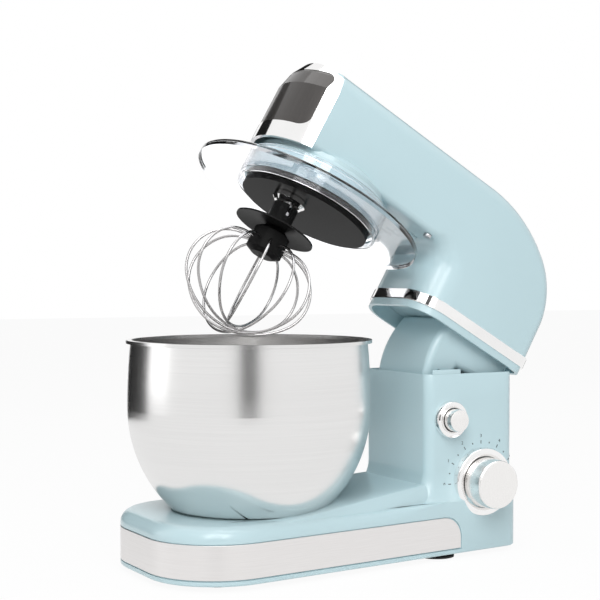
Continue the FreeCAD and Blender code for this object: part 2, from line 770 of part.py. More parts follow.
def head_section(label, inset, front, back, bottom):
    """The head's end view, padded along Y: upright sides and a shallow arched top."""
    body = new_body(label)
    half = head_half - inset
    rise = head_top - head_shoulder
    arch = (head_half * head_half + rise * rise) / (rise * 2) - inset
    shoulder = head_top - inset - (arch - root(arch * arch - half * half))
    sketch = new_sketch(body, "XZ_Plane", -back)
    outline(sketch, [(-half, bottom), (half, bottom), (half, shoulder), (-half, shoulder)], {2: arch})
    feature(body, "Pad", sketch, back - front)
    doc.recompute()
    ridge = [f"Edge{i + 1}" for i, edge in enumerate(body.Shape.Edges)
             if edge.Curve.TypeId == "Part::GeomLine" and abs(edge.tangentAt(0).y) > 0.99
             and edge.BoundBox.ZMin > number(shoulder) - 0.1]
    fillet(body, ridge, shoulder_round - inset)
    return body


def make_head_shell():
    front, back = bowl_y + shell_front, bowl_y + head_back + 5

    def forms(label, inset, start, bottom, neck_low):
        """The long body and the neck under its rear, as two overlapping forms."""
        long_form = boolean("Common", label + "_long", head_side(label + "_side", inset, start, bottom),
                            head_section(label + "_section", inset, start - 1, back, bottom - 5))
        neck = new_body(label + "_neck")
        slab(neck, neck_low, head_bottom + 8, lambda s: neck_plan(s, inset))
        return long_form, neck

    outer = boolean("MultiFuse", "head_outer", *forms("outer", 0, front, head_bottom, neck_bottom))
    long_hollow, neck_hollow = forms("inner", head_wall, front - 5, head_bottom - 5, neck_bottom - 5)
    shell = boolean("Cut", "head_without_body", outer, long_hollow)
    place(boolean("Cut", "head_shell", shell, neck_hollow), on_head=True)
    return outer


def make_neck_band(head_form):
    """A plated band round the neck, just above its open end."""
    block = new_body("neck_band_block")
    proud = 1.2
    slab(block, neck_band_low, neck_band_high, lambda s: neck_plan(s, -proud))
    place(boolean("Cut", "neck_band", block, head_form), on_head=True)


def make_front_cap():
    """A plated nose with a bowed front and a smoked panel let into it."""
    front, joint = bowl_y + shell_front - cap_bulge, bowl_y + shell_front
    bow = (head_half * head_half + cap_bulge * cap_bulge) / (cap_bulge * 2)

    def bowed(label, inset, start, section_inset):
        section = head_section(label + "_section", section_inset, front - 5, start, head_bottom)
        nose = lathe(label + "_nose", "Z", [
            (0, head_bottom - 5), (bow - inset, head_bottom - 5), (bow - inset, head_top - brow_drop),
            (bow - inset - 3, head_top - brow_drop / 2), (bow - inset - brow_back, head_top + 0.5),
            (0, head_top + 0.5)])
        nose.setExpression("Placement.Base.y", formula(front + bow))
        return boolean("Common", label, section, nose)

    hollow = boolean("Cut", "cap_hollow", bowed("cap_outer", 0, joint, 0),
                     bowed("cap_inner", cap_wall, joint + 1, cap_wall))

    def window(label, grow):
        body = new_body(label)
        half = head_half - 7 + grow
        sketch = new_sketch(body, "XZ_Plane", -joint + 4)
        belt(sketch, [(half - 8, head_bottom + 22 - grow, 8), (half - 8, head_top - 18 + grow, 8),
                      (-half + 8, head_top - 18 + grow, 8), (-half + 8, head_bottom + 22 - grow, 8)])
        feature(body, "Pad", sketch, cap_bulge + 10)
        return body

    place(boolean("Cut", "front_cap", hollow, window("window_cut", 0)), on_head=True)
    skin = boolean("Cut", "panel_skin", bowed("panel_outer", 0.4, joint, 0),
                   bowed("panel_inner", 2.6, joint + 1, 0.2))
    place(boolean("Common", "front_panel", skin, window("panel_window", -gap)), on_head=True)


def make_underside_cover():
    """The cover that closes the head from below, with the skirt round the planetary drive."""
    cover = new_body("head_underside")
    inner = cap_wall + gap
    low = head_bottom
    front, back = bowl_y + shell_front + 3, bowl_y + neck_front + neck_corner
    slab(cover, low, low + 2.5, lambda s: belt(s, box_corners(head_half - inner, front, back, 6)))
    slab(cover, low, low + 2.5, lambda s: belt(s, box_corners(28, front - 13, front + 15, 6)))
    sink(cover, low - 1, low + 4, lambda s: neck_plan(s, -gap))
    skirt = new_sketch(cover, height=boss_bottom)
    disc(skirt, 0, bowl_y, boss_radius)
    feature(cover, "Pad", skirt, low - boss_bottom)
    sink(cover, boss_bottom - 1, low - 2.5, lambda s: disc(s, 0, bowl_y, boss_radius - 2.5))
    sink(cover, low - 5, low + 4, lambda s: disc(s, 0, bowl_y, 16))
    vents = [(x, bowl_y + 83 + x * 0.3) for x in (-18, -9, 0, 9, 18)]
    for x, y in vents:
        sink(cover, low - 1, low + 4, lambda s: belt(s, [
            (x + 1.2, y - 7, 1.2), (x + 1.2, y + 7, 1.2), (x - 1.2, y + 7, 1.2), (x - 1.2, y - 7, 1.2)]))
    inside = low - 2.5
    spots = [(-38, bowl_y + 88, low), (38, bowl_y + 88, low), (-32, bowl_y - 32, inside),
             (32, bowl_y - 32, inside)]
    for x, y, _ in spots:
        sink(cover, inside - 1, low + 4, lambda s: disc(s, x, y, 1.7))
    place(cover, on_head=True)
    screws = []
    for x, y, seat in spots:
        screw = lathe("cover_screw", "Z", [
            (0, seat - 2.2), (3, seat - 2.2), (3.4, seat - 1), (3.4, seat), (1.6, seat),
            (1.6, low + 2.5), (0, low + 2.5)])
        screw.setExpression("Placement.Base.x", formula(x))
        screw.setExpression("Placement.Base.y", formula(y))
        screws.append(screw)
    place(boolean("MultiFuse", "cover_screws", *screws), on_head=True)


# ---------------------------------------------------------------- drive inside the head
def tooth_points(teeth, tooth_module, internal, start):
    """Straight-flanked teeth round a pitch circle; an internal ring has a gap at the start angle."""
    pitch_r = teeth * tooth_module / 2
    side = -1 if internal else 1
    tip, base = 0.85 * tooth_module, 1.15 * tooth_module
    points = []
    for tooth in range(teeth):
        middle = start + 2 * math.pi * (tooth + (0.5 if internal else 0)) / teeth
        for across, out in ((-1, -base), (-0.42, tip), (0.42, tip), (1, -base)):
            width = across * 0.98 * tooth_module if abs(across) == 1 else across * tooth_module * 0.8
            radius = pitch_r + side * out
            angle = middle + width / pitch_r
            points.append(vector(radius * math.cos(angle), radius * math.sin(angle)))
    points.append(points[0])
    return points


def gear(label, teeth, tooth_module, width, bore, start=0, blank=None):
    """A spur gear, or with blank a ring with inside teeth cut into that outer radius."""
    teeth = round(number(teeth))
    wire = Part.makePolygon(tooth_points(teeth, number(tooth_module), blank is not None, start))
    face = Part.Face(wire)
    body = face.extrude(vector(0, 0, width))
    if blank is not None:
        body = Part.makeCylinder(number(blank), number(width)).cut(body)
    elif bore is not None:
        body = body.cut(Part.makeCylinder(number(bore), number(width)))
    return solid(label, body)


def make_planetary():
    lean = math.radians(number(planet_angle))
    low = boss_bottom + 3
    gear_top = low + gear_width
    place(gear("ring_gear", ring_teeth, module, gear_width, None, lean,
               blank=boss_radius - 2.5), y=bowl_y, z=low, on_head=True)
    planet = gear("planet_gear", planet_teeth, module, gear_width, tool_shaft_radius, lean)
    place(planet, x=planet_x, y=bowl_y + planet_y, z=low, on_head=True)

    carrier = new_body("planet_carrier")
    plate_top = carrier_z + 7
    slab(carrier, carrier_z, plate_top, lambda s: disc(s, 0, 0, carrier_radius))
    sink(carrier, plate_top - 5, plate_top + 1, lambda s: (disc(s, 0, 0, carrier_radius - 3),
                                                           disc(s, 0, 0, 12)))
    slab(carrier, plate_top - 5, low - 0.5, lambda s: disc(s, planet_x, planet_y, 9))
    slab(carrier, plate_top - 5, low - 1, lambda s: disc(s, 0, 0, main_shaft_radius + 4))
    sink(carrier, carrier_z - 1, low + 1, lambda s: disc(s, planet_x, planet_y,
                                                         tool_shaft_radius + fit))
    sink(carrier, carrier_z + 2, low + 1, lambda s: disc(s, 0, 0, main_shaft_radius))
    place(carrier, y=bowl_y, on_head=True)

    top = main_gear_z + gear_width
    place(lathe("main_shaft", "Z", [(0, carrier_z + 2), (main_shaft_radius, carrier_z + 2),
                                    (main_shaft_radius, top + 2), (0, top + 2)]),
          y=bowl_y, on_head=True)
    mesh = math.atan2(number(lay_y), number(lay_x)) + math.pi / round(number(main_teeth))
    place(gear("main_gear", main_teeth, module, gear_width, main_shaft_radius, mesh),
          y=bowl_y, z=main_gear_z, on_head=True)
    bearing_low = head_bottom - 4
    place(tube("carrier_bearing", "Z", main_shaft_radius + fit, 12, bearing_low, bearing_low + 8),
          y=bowl_y, on_head=True)


def make_tool_drive():
    """The tool's shaft turns in the carrier: planet gear above, collar, and cross pin for tools."""
    top = boss_bottom + 3 + gear_width
    tool_end = carrier_z - 38
    pin_z = carrier_z - 15
    shaft = lathe("tool_shaft", "Z", [(0, tool_end), (tool_shaft_radius - 1, tool_end),
                                      (tool_shaft_radius, tool_end + 1), (tool_shaft_radius, top),
                                      (0, top)])
    cross = new_sketch(shaft, "YZ_Plane", -10)
    disc(cross, 0, pin_z, 1.5)
    feature(shaft, "Pocket", cross, 20, reverse=True)
    place(shaft, x=planet_x, y=bowl_y + planet_y, on_head=True)
    place(tube("drive_pin", "X", 0, 1.5, -8, 8), x=planet_x, y=bowl_y + planet_y, z=pin_z,
          on_head=True)
    place(lathe("shaft_collar", "Z", [
        (tool_shaft_radius, carrier_z - 6.5), (11, carrier_z - 6.5), (13.5, carrier_z - 4),
        (13.5, carrier_z - gap), (tool_shaft_radius, carrier_z - gap)]),
        x=planet_x, y=bowl_y + planet_y, on_head=True)


def make_reduction():
    """The lay shaft: worm wheel above, pinion below, between the frame and its cover."""
    wheel_low = motor_z - gear_width / 2
    shaft_low, shaft_top = gear_floor - 4, wheel_low + gear_width + 6
    lay = {"x": lay_x, "y": bowl_y + lay_y, "on_head": True}
    place(lathe("lay_shaft", "Z", [(0, shaft_low), (lay_shaft_radius, shaft_low),
                                   (lay_shaft_radius, shaft_top), (0, shaft_top)]), **lay)
    mesh = math.atan2(number(lay_y), number(lay_x)) + math.pi
    pinion = gear("pinion", pinion_teeth, module, gear_width, lay_shaft_radius, mesh)
    place(pinion, z=main_gear_z, **lay)
    wheel = gear("worm_wheel", wheel_teeth, wheel_module * 0.9, gear_width, lay_shaft_radius)
    place(wheel, z=wheel_low, **lay)

    frame = new_body("gearbox_frame")
    low = head_bottom + 2.5
    front, back = bowl_y - 34, bowl_y + motor_front - 12
    slab(frame, low, gear_floor, lambda s: belt(s, box_corners(head_half - 6, front, back, 4)))
    sink(frame, low - 1, gear_floor + 1, lambda s: disc(s, 0, bowl_y, main_shaft_radius + 1))
    sink(frame, low - 1, bearing_seat_top(), lambda s: disc(s, 0, bowl_y, 12 + fit))
    sink(frame, shaft_low, gear_floor + 1, lambda s: disc(s, lay_x, bowl_y + lay_y,
                                                          lay_shaft_radius + fit))
    slab(frame, gear_floor - 1, motor_z + 14, lambda s: belt(s, box_corners(
        26, back - 6, back, 2)))
    bore = new_sketch(frame, "XZ_Plane", -(back - 7))
    disc(bore, 0, motor_z, 8 + fit)
    feature(frame, "Pocket", bore, 8)
    place(frame, on_head=True)

    bridge = new_body("gearbox_bridge")
    bridge_low = shaft_top - 4
    slab(bridge, bridge_low, bridge_low + 4, lambda s: belt(s, box_corners(
        30, bowl_y + lay_y - 14, back - 6, 3)))
    sink(bridge, bridge_low - 1, bridge_low + 5, lambda s: disc(s, lay_x, bowl_y + lay_y,
                                                                lay_shaft_radius + fit))
    place(bridge, on_head=True)


def bearing_seat_top():
    return head_bottom + 4


def make_motor():
    start, end = bowl_y + motor_front, bowl_y + motor_front + motor_length
    axis = {"z": motor_z, "on_head": True}
    worm_end = bowl_y + lay_y - 14
    shaft_end = end + 16
    place(tube("motor_shaft", "Y", 0, motor_shaft_radius, worm_end - 2, shaft_end), **axis)
    thread = []
    count = 6
    pitch = wheel_module * 3.14159
    for turn in range(count):
        near = bowl_y + lay_y + pitch * (turn - count / 2)
        thread += [(worm_radius - 1.1, near), (worm_radius - 0.1, near + 1), (worm_radius - 0.1, near + 2)]
    last = bowl_y + lay_y + pitch * (count / 2)
    place(lathe("worm", "Y", [(motor_shaft_radius, bowl_y + lay_y - pitch * (count / 2)), *thread,
                              (worm_radius - 1.1, last), (motor_shaft_radius, last)]), **axis)
    place(tube("front_bearing", "Y", motor_shaft_radius, 8, start - 18, start - 12), **axis)
    place(tube("rear_bearing", "Y", motor_shaft_radius, 8, end + 8, end + 14), **axis)
    rotor_radius = motor_radius - 10
    place(tube("armature", "Y", motor_shaft_radius, rotor_radius, start + 12, start + 44), **axis)
    place(tube("commutator", "Y", motor_shaft_radius, 9, start + 47, start + 58), **axis)
    fan = new_body("cooling_fan")
    hub = new_sketch(fan, "XZ_Plane", -(start - 8))
    disc(hub, 0, 0, 7)
    disc(hub, 0, 0, motor_shaft_radius)
    feature(fan, "Pad", hub, 3)
    for turn in range(8):
        blade = new_sketch(fan, "XZ_Plane", -(start - 8))
        a = 45 * turn
        corners = [(6, -0.8), (22, -0.8), (22, 0.8), (6, 0.8)]
        outline(blade, [(x * math.cos(math.radians(a)) - y * math.sin(math.radians(a)),
                         x * math.sin(math.radians(a)) + y * math.cos(math.radians(a)))
                        for x, y in corners])
        feature(fan, "Pad", blade, 3)
    place(fan, **axis)
    stator = new_body("motor_stator")
    ring = new_sketch(stator, "XZ_Plane", -(start + 44))
    disc(ring, 0, 0, motor_radius)
    disc(ring, 0, 0, rotor_radius + gap * 2)
    feature(stator, "Pad", ring, 32)
    place(stator, **axis)
    mount = new_body("motor_mount")
    for near, thick in ((start + 6, 5), (start + 44.5, 3)):
        sketch = new_sketch(mount, "XZ_Plane", -(near + thick))
        belt(sketch, [(31, -30, 3), (26, 16, 8), (-26, 16, 8), (-31, -30, 3)])
        disc(sketch, 0, 0, 14)
        feature(mount, "Pad", sketch, thick)
    for side in (-1, 1):
        rail = new_sketch(mount, "XZ_Plane", -(end + 16))
        x0 = side * 32
        belt(rail, [(x0 + 2, -31, 1), (x0 + 2, -16, 1), (x0 - 2, -16, 1), (x0 - 2, -31, 1)])
        feature(mount, "Pad", rail, end + 16 - (start - 12))
    rear = new_sketch(mount, "XZ_Plane", -(end + 14))
    belt(rear, [(31, -30, 3), (14, 12, 8), (-14, 12, 8), (-31, -30, 3)])
    disc(rear, 0, 0, 8 + fit)
    feature(mount, "Pad", rear, 6)
    place(mount, **axis)
    brushes = new_body("carbon_brushes")
    for side in (-1, 1):
        sketch = new_sketch(brushes, "YZ_Plane", 9.2 if side > 0 else -24)
        belt(sketch, [(start + 55, -3, 1), (start + 55, 3, 1), (start + 50, 3, 1), (start + 50, -3, 1)])
        feature(brushes, "Pad", sketch, 14.8)
    place(brushes, **axis)


# ---------------------------------------------------------------- whisk and guard
def make_whisk():
    at = {"x": planet_x, "y": bowl_y + planet_y, "on_head": True}
    bore = tool_shaft_radius + fit
    disc_z = carrier_z - 27.5
    hub_top, hub_low = disc_z - 5, disc_z - 24
    stem_top = carrier_z - 8
    shaft_end = carrier_z - 38
    hub = lathe("whisk_hub", "Z", [
        (0, hub_low), (9, hub_low), (14.5, hub_low + 3), (14.5, hub_top), (8, disc_z - gap),
        (8, disc_z + 2 + gap), (10, disc_z + 6), (10, stem_top), (bore, stem_top),
        (bore, shaft_end - 1), (0, shaft_end - 1)])
    slot = new_sketch(hub, "YZ_Plane", -12)
    pin_z = carrier_z - 15
    outline(slot, [(-1.5 - gap, pin_z - 1.5 - gap), (1.5 + gap, pin_z - 1.5 - gap),
                   (1.5 + gap, stem_top + 1), (-1.5 - gap, stem_top + 1)])
    feature(hub, "Pocket", slot, 24, reverse=True)
    place(hub, **at)
    place(lathe("whisk_disc", "Z", [(8 + fit, disc_z), (32.2, disc_z - 2), (32.2, disc_z - 0.6),
                                    (8 + fit, disc_z + 2)]), **at)
    place(solid("whisk_wires", whisk_loops(number(hub_low) + 8)), **at)


def arc_middle(centre, start, end, radius):
    """The middle of the arc from start to end round centre."""
    return centre + ((start + end) / 2 - centre).normalize() * radius


def whisk_loops(start_z):
    """Wire loops through the axis: a small-radius shoulder, then a wide round bottom."""
    tip, wire, count = number(whisk_tip), number(wire_radius), round(number(wire_loops))
    root_r, root_shoulder, nest = 10, 33, 1.2
    crossing, first_turn = 0.2, 8
    loops = []
    for loop in range(count):
        low = tip + loop * (2 * wire + crossing)
        belly, shoulder_r = number(whisk_belly) - nest * loop, root_shoulder - loop
        belly_z = start_z - math.sqrt(shoulder_r ** 2 - (root_r - belly + shoulder_r) ** 2)
        cx = belly - shoulder_r
        reach = low + shoulder_r
        cz = (reach ** 2 - cx ** 2 - belly_z ** 2) / (2 * (reach - belly_z))
        shoulder, bottom = vector(cx, 0, belly_z), vector(0, 0, cz)
        top = vector(root_r, 0, start_z)
        side = vector(belly, 0, belly_z)
        tangent = bottom + (shoulder - bottom).normalize() * (cz - low)
        half = [top, arc_middle(shoulder, top, side, shoulder_r), side,
                arc_middle(shoulder, side, tangent, shoulder_r), tangent, vector(0, 0, low)]
        points = half + [vector(-p.x, 0, p.z) for p in half[-2::-1]]
        path = Part.Wire([Part.Arc(*points[i:i + 3]).toShape() for i in range(0, len(points) - 1, 2)])
        first = path.Edges[0]
        start = first.valueAt(first.FirstParameter)
        ring = Part.Wire([Part.makeCircle(wire, start, first.tangentAt(first.FirstParameter))])
        tube_shape = path.makePipeShell([ring], True, True)
        tube_shape.rotate(vector(0, 0), vector(0, 0, 1), 180 * loop / count + first_turn)
        loops.append(tube_shape)
    return Part.makeCompound(loops)


def make_splash_guard():
    inner = boss_radius + 1.2
    wall_top = head_bottom - 5
    guard = lathe("splash_guard", "Z", [
        (inner, guard_z - 4), (inner + 2, guard_z - 4), (inner + 2, guard_z), (guard_radius - 1, guard_z),
        (guard_radius, guard_z - 3), (guard_radius, guard_z + guard_thick - 1),
        (guard_radius - 1, guard_z + guard_thick),
        (inner + 2, guard_z + guard_thick), (inner + 2, wall_top), (inner - 0.9, wall_top),
        (inner - 0.9, wall_top - 2), (inner, wall_top - 2)])
    place(guard, y=bowl_y, on_head=True)


# ---------------------------------------------------------------- build and export
make_base_housing()
make_underside()
make_trim_band()
make_bowl_seat()
make_bowl()
make_controls()
make_latch()
make_hinge()
make_neck_band(make_head_shell())
make_front_cap()
make_underside_cover()
make_planetary()
make_tool_drive()
make_reduction()
make_motor()
make_whisk()
make_splash_guard()
doc.recompute()

for thing in doc.Objects:
    if "Invalid" in thing.State or "Error" in thing.State:
        raise RuntimeError(f"{thing.Label} failed: {thing.State}")
for node in nodes:
    if node.Shape.isNull() or not node.Shape.isValid() or not node.Shape.Solids:
        raise RuntimeError(f"{node.Label} has no valid solid")

os.makedirs("parts", exist_ok=True)
for node in nodes:
    node.Shape.exportStep(f"parts/{node.Label}.step")
print(len(nodes), "nodes written")
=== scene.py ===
import math

import bpy
from mathutils import Matrix, Vector


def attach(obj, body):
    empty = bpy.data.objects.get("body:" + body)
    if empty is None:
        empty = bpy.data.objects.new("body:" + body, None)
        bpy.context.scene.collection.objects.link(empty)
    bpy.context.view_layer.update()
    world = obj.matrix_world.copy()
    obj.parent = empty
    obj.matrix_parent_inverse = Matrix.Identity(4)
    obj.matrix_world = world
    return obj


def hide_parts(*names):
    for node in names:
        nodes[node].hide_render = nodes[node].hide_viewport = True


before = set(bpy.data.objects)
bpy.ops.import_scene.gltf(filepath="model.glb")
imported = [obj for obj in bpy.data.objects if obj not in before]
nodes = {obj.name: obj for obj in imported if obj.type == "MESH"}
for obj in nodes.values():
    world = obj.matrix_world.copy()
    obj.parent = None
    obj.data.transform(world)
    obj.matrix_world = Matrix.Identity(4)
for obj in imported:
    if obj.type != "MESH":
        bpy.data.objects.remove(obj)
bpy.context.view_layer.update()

# ---------------------------------------------------------------------------
# Base housing. One large injection moulding in glossy pale aqua ABS: the
# low deck under the bowl and the column behind it are a single shell.
# The colour is in the plastic itself, so the surface is smooth and sealed.
# ---------------------------------------------------------------------------


class Value:
    """A node's output. Sums on it add Math nodes to the same material."""

    def __init__(self, tree, socket=None):
        self.tree, self.socket = tree, socket

    def node(self, kind, settings=None, inputs=None, output=0):
        made = self.tree.nodes.new(kind)
        for name, setting in (settings or {}).items():
            if name == "stops":
                for stop, (place, shade) in zip(made.color_ramp.elements, setting):
                    stop.position, stop.color = place, shade
            else:
                setattr(made, name, setting)
        for name, value in (inputs or {}).items():
            if isinstance(value, Value):
                self.tree.links.new(value.socket, made.inputs[name])
            else:
                made.inputs[name].default_value = value
        return Value(self.tree, made.outputs[output])

    def maths(self, operation, first, second=0.0):
        return self.node("ShaderNodeMath", {"operation": operation}, {0: first, 1: second})

    def __add__(self, other):
        return self.maths("ADD", self, other)

    __radd__ = __add__

    def __sub__(self, other):
        return self.maths("SUBTRACT", self, other)

    def __rsub__(self, other):
        return self.maths("SUBTRACT", other, self)

    def __mul__(self, other):
        return self.maths("MULTIPLY", self, other)

    __rmul__ = __mul__

    def __truediv__(self, other):
        return self.maths("DIVIDE", self, other)

    def __rtruediv__(self, other):
        return self.maths("DIVIDE", other, self)

    def power(self, other):
        return self.maths("POWER", self, other)

    def absolute(self):
        return self.maths("ABSOLUTE", self)

    def between(self, low, high):
        """0 below low and 1 above high, smooth between them."""
        return self.node(
            "ShaderNodeMapRange",
            {"interpolation_type": "SMOOTHSTEP"},
            {"Value": self, "From Min": low, "From Max": high},
        )


class Finish:
    """One material: its tree, the piece's own coordinates and its shader."""

    def __init__(self, name, **fixed):
        self.material = bpy.data.materials.new(name)
        self.material.use_nodes = True
        tree = self.material.node_tree
        self.shader = tree.nodes["Principled BSDF"]
        self.start = Value(tree)
        self.place = self.start.node("ShaderNodeTexCoord", output="Object")
        for socket, value in fixed.items():
            self.shader.inputs[socket.replace("_", " ")].default_value = value

    def feed(self, **links):
        for socket, value in links.items():
            self.start.tree.links.new(
                value.socket, self.shader.inputs[socket.replace("_", " ")]
            )
        return self

    def noise(self, stretch, detail=2.0, roughness=0.5):
        """A soft pattern from 0 to 1; stretch is its waves per metre along x, y and z."""
        spread = self.start.node(
            "ShaderNodeMapping", inputs={"Vector": self.place, "Scale": stretch}
        )
        return self.start.node(
            "ShaderNodeTexNoise",
            inputs={"Vector": spread, "Scale": 1.0, "Detail": detail, "Roughness": roughness},
        )

    def shade(self, mask, low, high):
        """The colour low where mask is 0 and high where it is 1."""
        return self.start.node(
            "ShaderNodeMix",
            {"data_type": "RGBA"},
            {0: mask, 6: (*low, 1.0), 7: (*high, 1.0)},
            output=2,
        )

    def bump(self, height, strength, distance):
        return self.start.node(
            "ShaderNodeBump",
            inputs={"Height": height, "Strength": strength, "Distance": distance},
        )


def paint(finish, *names):
    """The CAD nodes of these names take this finish alone."""
    for name in names:
        slots = nodes[name].data.materials
        slots.clear()
        slots.append(finish.material)


aqua_plastic = Finish("aqua_plastic", IOR=1.5, Coat_Roughness=0.08)
moulding = aqua_plastic.noise((9.0, 9.0, 9.0))
skin = aqua_plastic.noise((260.0, 260.0, 260.0))
aqua_plastic.feed(
    Base_Color=aqua_plastic.shade(moulding, (0.535, 0.715, 0.765), (0.555, 0.735, 0.78)),
    Roughness=0.27 + 0.04 * skin,
    Coat_Weight=0.25 + 0.10 * moulding,
)

MM = 0.001
BOWL_Y = -84.0


def deselect():
    if bpy.context.object and bpy.context.object.mode == "EDIT":
        bpy.ops.object.mode_set(mode="OBJECT")
    bpy.ops.object.select_all(action="DESELECT")


def choose(*pieces):
    deselect()
    for piece in pieces:
        piece.select_set(True)
    bpy.context.view_layer.objects.active = pieces[0]


def tidy(piece, finish, angle=35.0, outward=True):
    """Merges doubled points, turns the faces outwards and smooths all but the sharp edges."""
    choose(piece)
    bpy.ops.object.mode_set(mode="EDIT")
    bpy.ops.mesh.select_all(action="SELECT")
    bpy.ops.mesh.remove_doubles(threshold=0.00002)
    if outward:
        bpy.ops.mesh.normals_make_consistent(inside=False)
    bpy.ops.object.mode_set(mode="OBJECT")
    piece.data.materials.clear()
    piece.data.materials.append(finish.material)
    bpy.ops.object.shade_smooth_by_angle(angle=math.radians(angle))
    return piece


def from_rings(name, rings, closed=True):
    """A skin over rings of equally many points in millimetres, each joined to the next."""
    count = len(rings[0])
    points = [Vector(p) * MM for ring in rings for p in ring]
    last = len(rings) if closed else len(rings) - 1
    faces = [
        (
            k * count + i,
            k * count + (i + 1) % count,
            (k + 1) % len(rings) * count + (i + 1) % count,
            (k + 1) % len(rings) * count + i,
        )
        for k in range(last)
        for i in range(count)
    ]
    if not closed:
        faces += [tuple(range(count)), tuple((len(rings) - 1) * count + i for i in range(count))]
    mesh = bpy.data.meshes.new(name)
    mesh.from_pydata(points, [], faces)
    piece = bpy.data.objects.new(name, mesh)
    bpy.context.scene.collection.objects.link(piece)
    return piece


def cut(piece, *cutters):
    """Takes the cutters' forms out of the piece."""
    for cutter in cutters:
        choose(piece)
        bpy.ops.object.modifier_add(type="BOOLEAN")
        modifier = piece.modifiers[-1]
        modifier.operation, modifier.solver, modifier.object = "DIFFERENCE", "FAST", cutter
        bpy.ops.object.modifier_apply(modifier=modifier.name)
        bpy.data.objects.remove(cutter)
    return piece


def corner_arc(x, y, radius, start, end, steps):
    """Points and outward directions on a rounded corner of a plan, angles in degrees."""
    found = []
    for step in range(steps):
        turn = math.radians(start + (end - start) * step / (steps - 1))
        found.append((x + radius * math.cos(turn), y + radius * math.sin(turn), math.cos(turn), math.sin(turn)))
    return found


def both_sides(half):
    """The right half of a plan from its front to its back, then the left half from back to front."""
    return half + [(-x, y, -nx, ny) for x, y, nx, ny in reversed(half)]


BASE_HALF, BASE_FRONT, BASE_CORNER = 77.4, BOWL_Y - 94.0, 55.0
REAR_HALF, REAR_Y, REAR_CORNER = 48.3, BOWL_Y + 225.2, 12.0
COLUMN_HALF, COLUMN_FRONT, COLUMN_BACK = 47.0, BOWL_Y + 134.5, BOWL_Y + 219.6
COLUMN_CORNER, COLUMN_TOP = 8.0, 147.3
DECK_TOP, CROWN, WALL, FILLET = 46.0, 10.0, 3.0, 24.0

front_centre = (BASE_HALF - BASE_CORNER, BASE_FRONT + BASE_CORNER)
rear_centre = (REAR_HALF - REAR_CORNER, REAR_Y - REAR_CORNER)
taper = math.hypot(rear_centre[0] - front_centre[0], rear_centre[1] - front_centre[1])
side_turn = math.degrees(
    math.atan2(rear_centre[1] - front_centre[1], rear_centre[0] - front_centre[0])
    - math.acos((BASE_CORNER - REAR_CORNER) / taper)
)
arc = corner_arc(*front_centre, BASE_CORNER, -90.0, side_turn, 17)
rear_arc = corner_arc(*rear_centre, REAR_CORNER, side_turn, 90.0, 9)


def side_x(y):
    """Half the base's width where its sides run straight."""
    share = (y - arc[-1][1]) / (rear_arc[0][1] - arc[-1][1])
    return arc[-1][0] + (rear_arc[0][0] - arc[-1][0]) * min(max(share, 0.0), 1.0)


side_normal = arc[-1][2:]
shoulder_y = COLUMN_FRONT + COLUMN_CORNER
before = [arc[-1][1] + (shoulder_y - arc[-1][1]) * step / 12 for step in range(1, 13)]
beside = [shoulder_y + (rear_arc[0][1] - shoulder_y) * step / 8 for step in range(1, 8)]
front_line = [(arc[0][0] * step / 4, BASE_FRONT, 0.0, -1.0) for step in range(4)]
base_plan = both_sides(
    front_line + arc + [(side_x(y), y, *side_normal) for y in before + beside] + rear_arc
)
column_arc = corner_arc(COLUMN_HALF - COLUMN_CORNER, shoulder_y, COLUMN_CORNER, -90.0, 0.0, len(arc) + len(before))
column_plan = both_sides(
    [((COLUMN_HALF - COLUMN_CORNER) * step / 4, COLUMN_FRONT, 0.0, -1.0) for step in range(4)]
    + column_arc
    + [(COLUMN_HALF, y, 1.0, 0.0) for y in beside]
    + corner_arc(COLUMN_HALF - COLUMN_CORNER, COLUMN_BACK - COLUMN_CORNER, COLUMN_CORNER, 0.0, 90.0, len(rear_arc))
)


def ease(value, low, high):
    share = min(max((value - low) / (high - low), 0.0), 1.0)
    return share * share * (3 - 2 * share)


def crown_at(y):
    """The rounding of the deck's top edge, which dies away where the column stands on it."""
    return CROWN - (CROWN - 0.3) * ease(y, 0.0, 62.0)


def inset(plan, distance, z):
    return [(x - nx * distance, y - ny * distance, z) for x, y, nx, ny in plan]


def crown_ring(turn):
    ring = []
    for x, y, nx, ny in base_plan:
        radius = crown_at(y)
        away, rise = radius * (1 - math.cos(turn)), radius * (1 - math.sin(turn))
        ring.append((x - nx * away, y - ny * away, DECK_TOP - rise))
    return ring


def column_ring(rise):
    """The column's section at a height above the deck, spread out where it meets the deck."""
    ring = []
    share = min(rise / FILLET, 1.0)
    swept, leaning = 1 - math.sqrt(1 - (1 - share) ** 2), (1 - share) ** 2
    for (x, y, nx, ny), (base_x, base_y, base_nx, base_ny) in zip(column_plan, base_plan):
        beside_column = ease(y, COLUMN_FRONT, shoulder_y + 10.0)
        spread = swept + (leaning - swept) * beside_column
        if base_y > shoulder_y:
            foot_x = base_x - base_nx * crown_at(base_y)
            foot_y = base_y - base_ny * crown_at(base_y)
        else:
            margin = side_x(y) - crown_at(y) - COLUMN_HALF
            foot_x, foot_y = x + nx * margin, y + ny * FILLET
        ring.append((x + (foot_x - x) * spread, y + (foot_y - y) * spread, DECK_TOP + rise))
    return ring


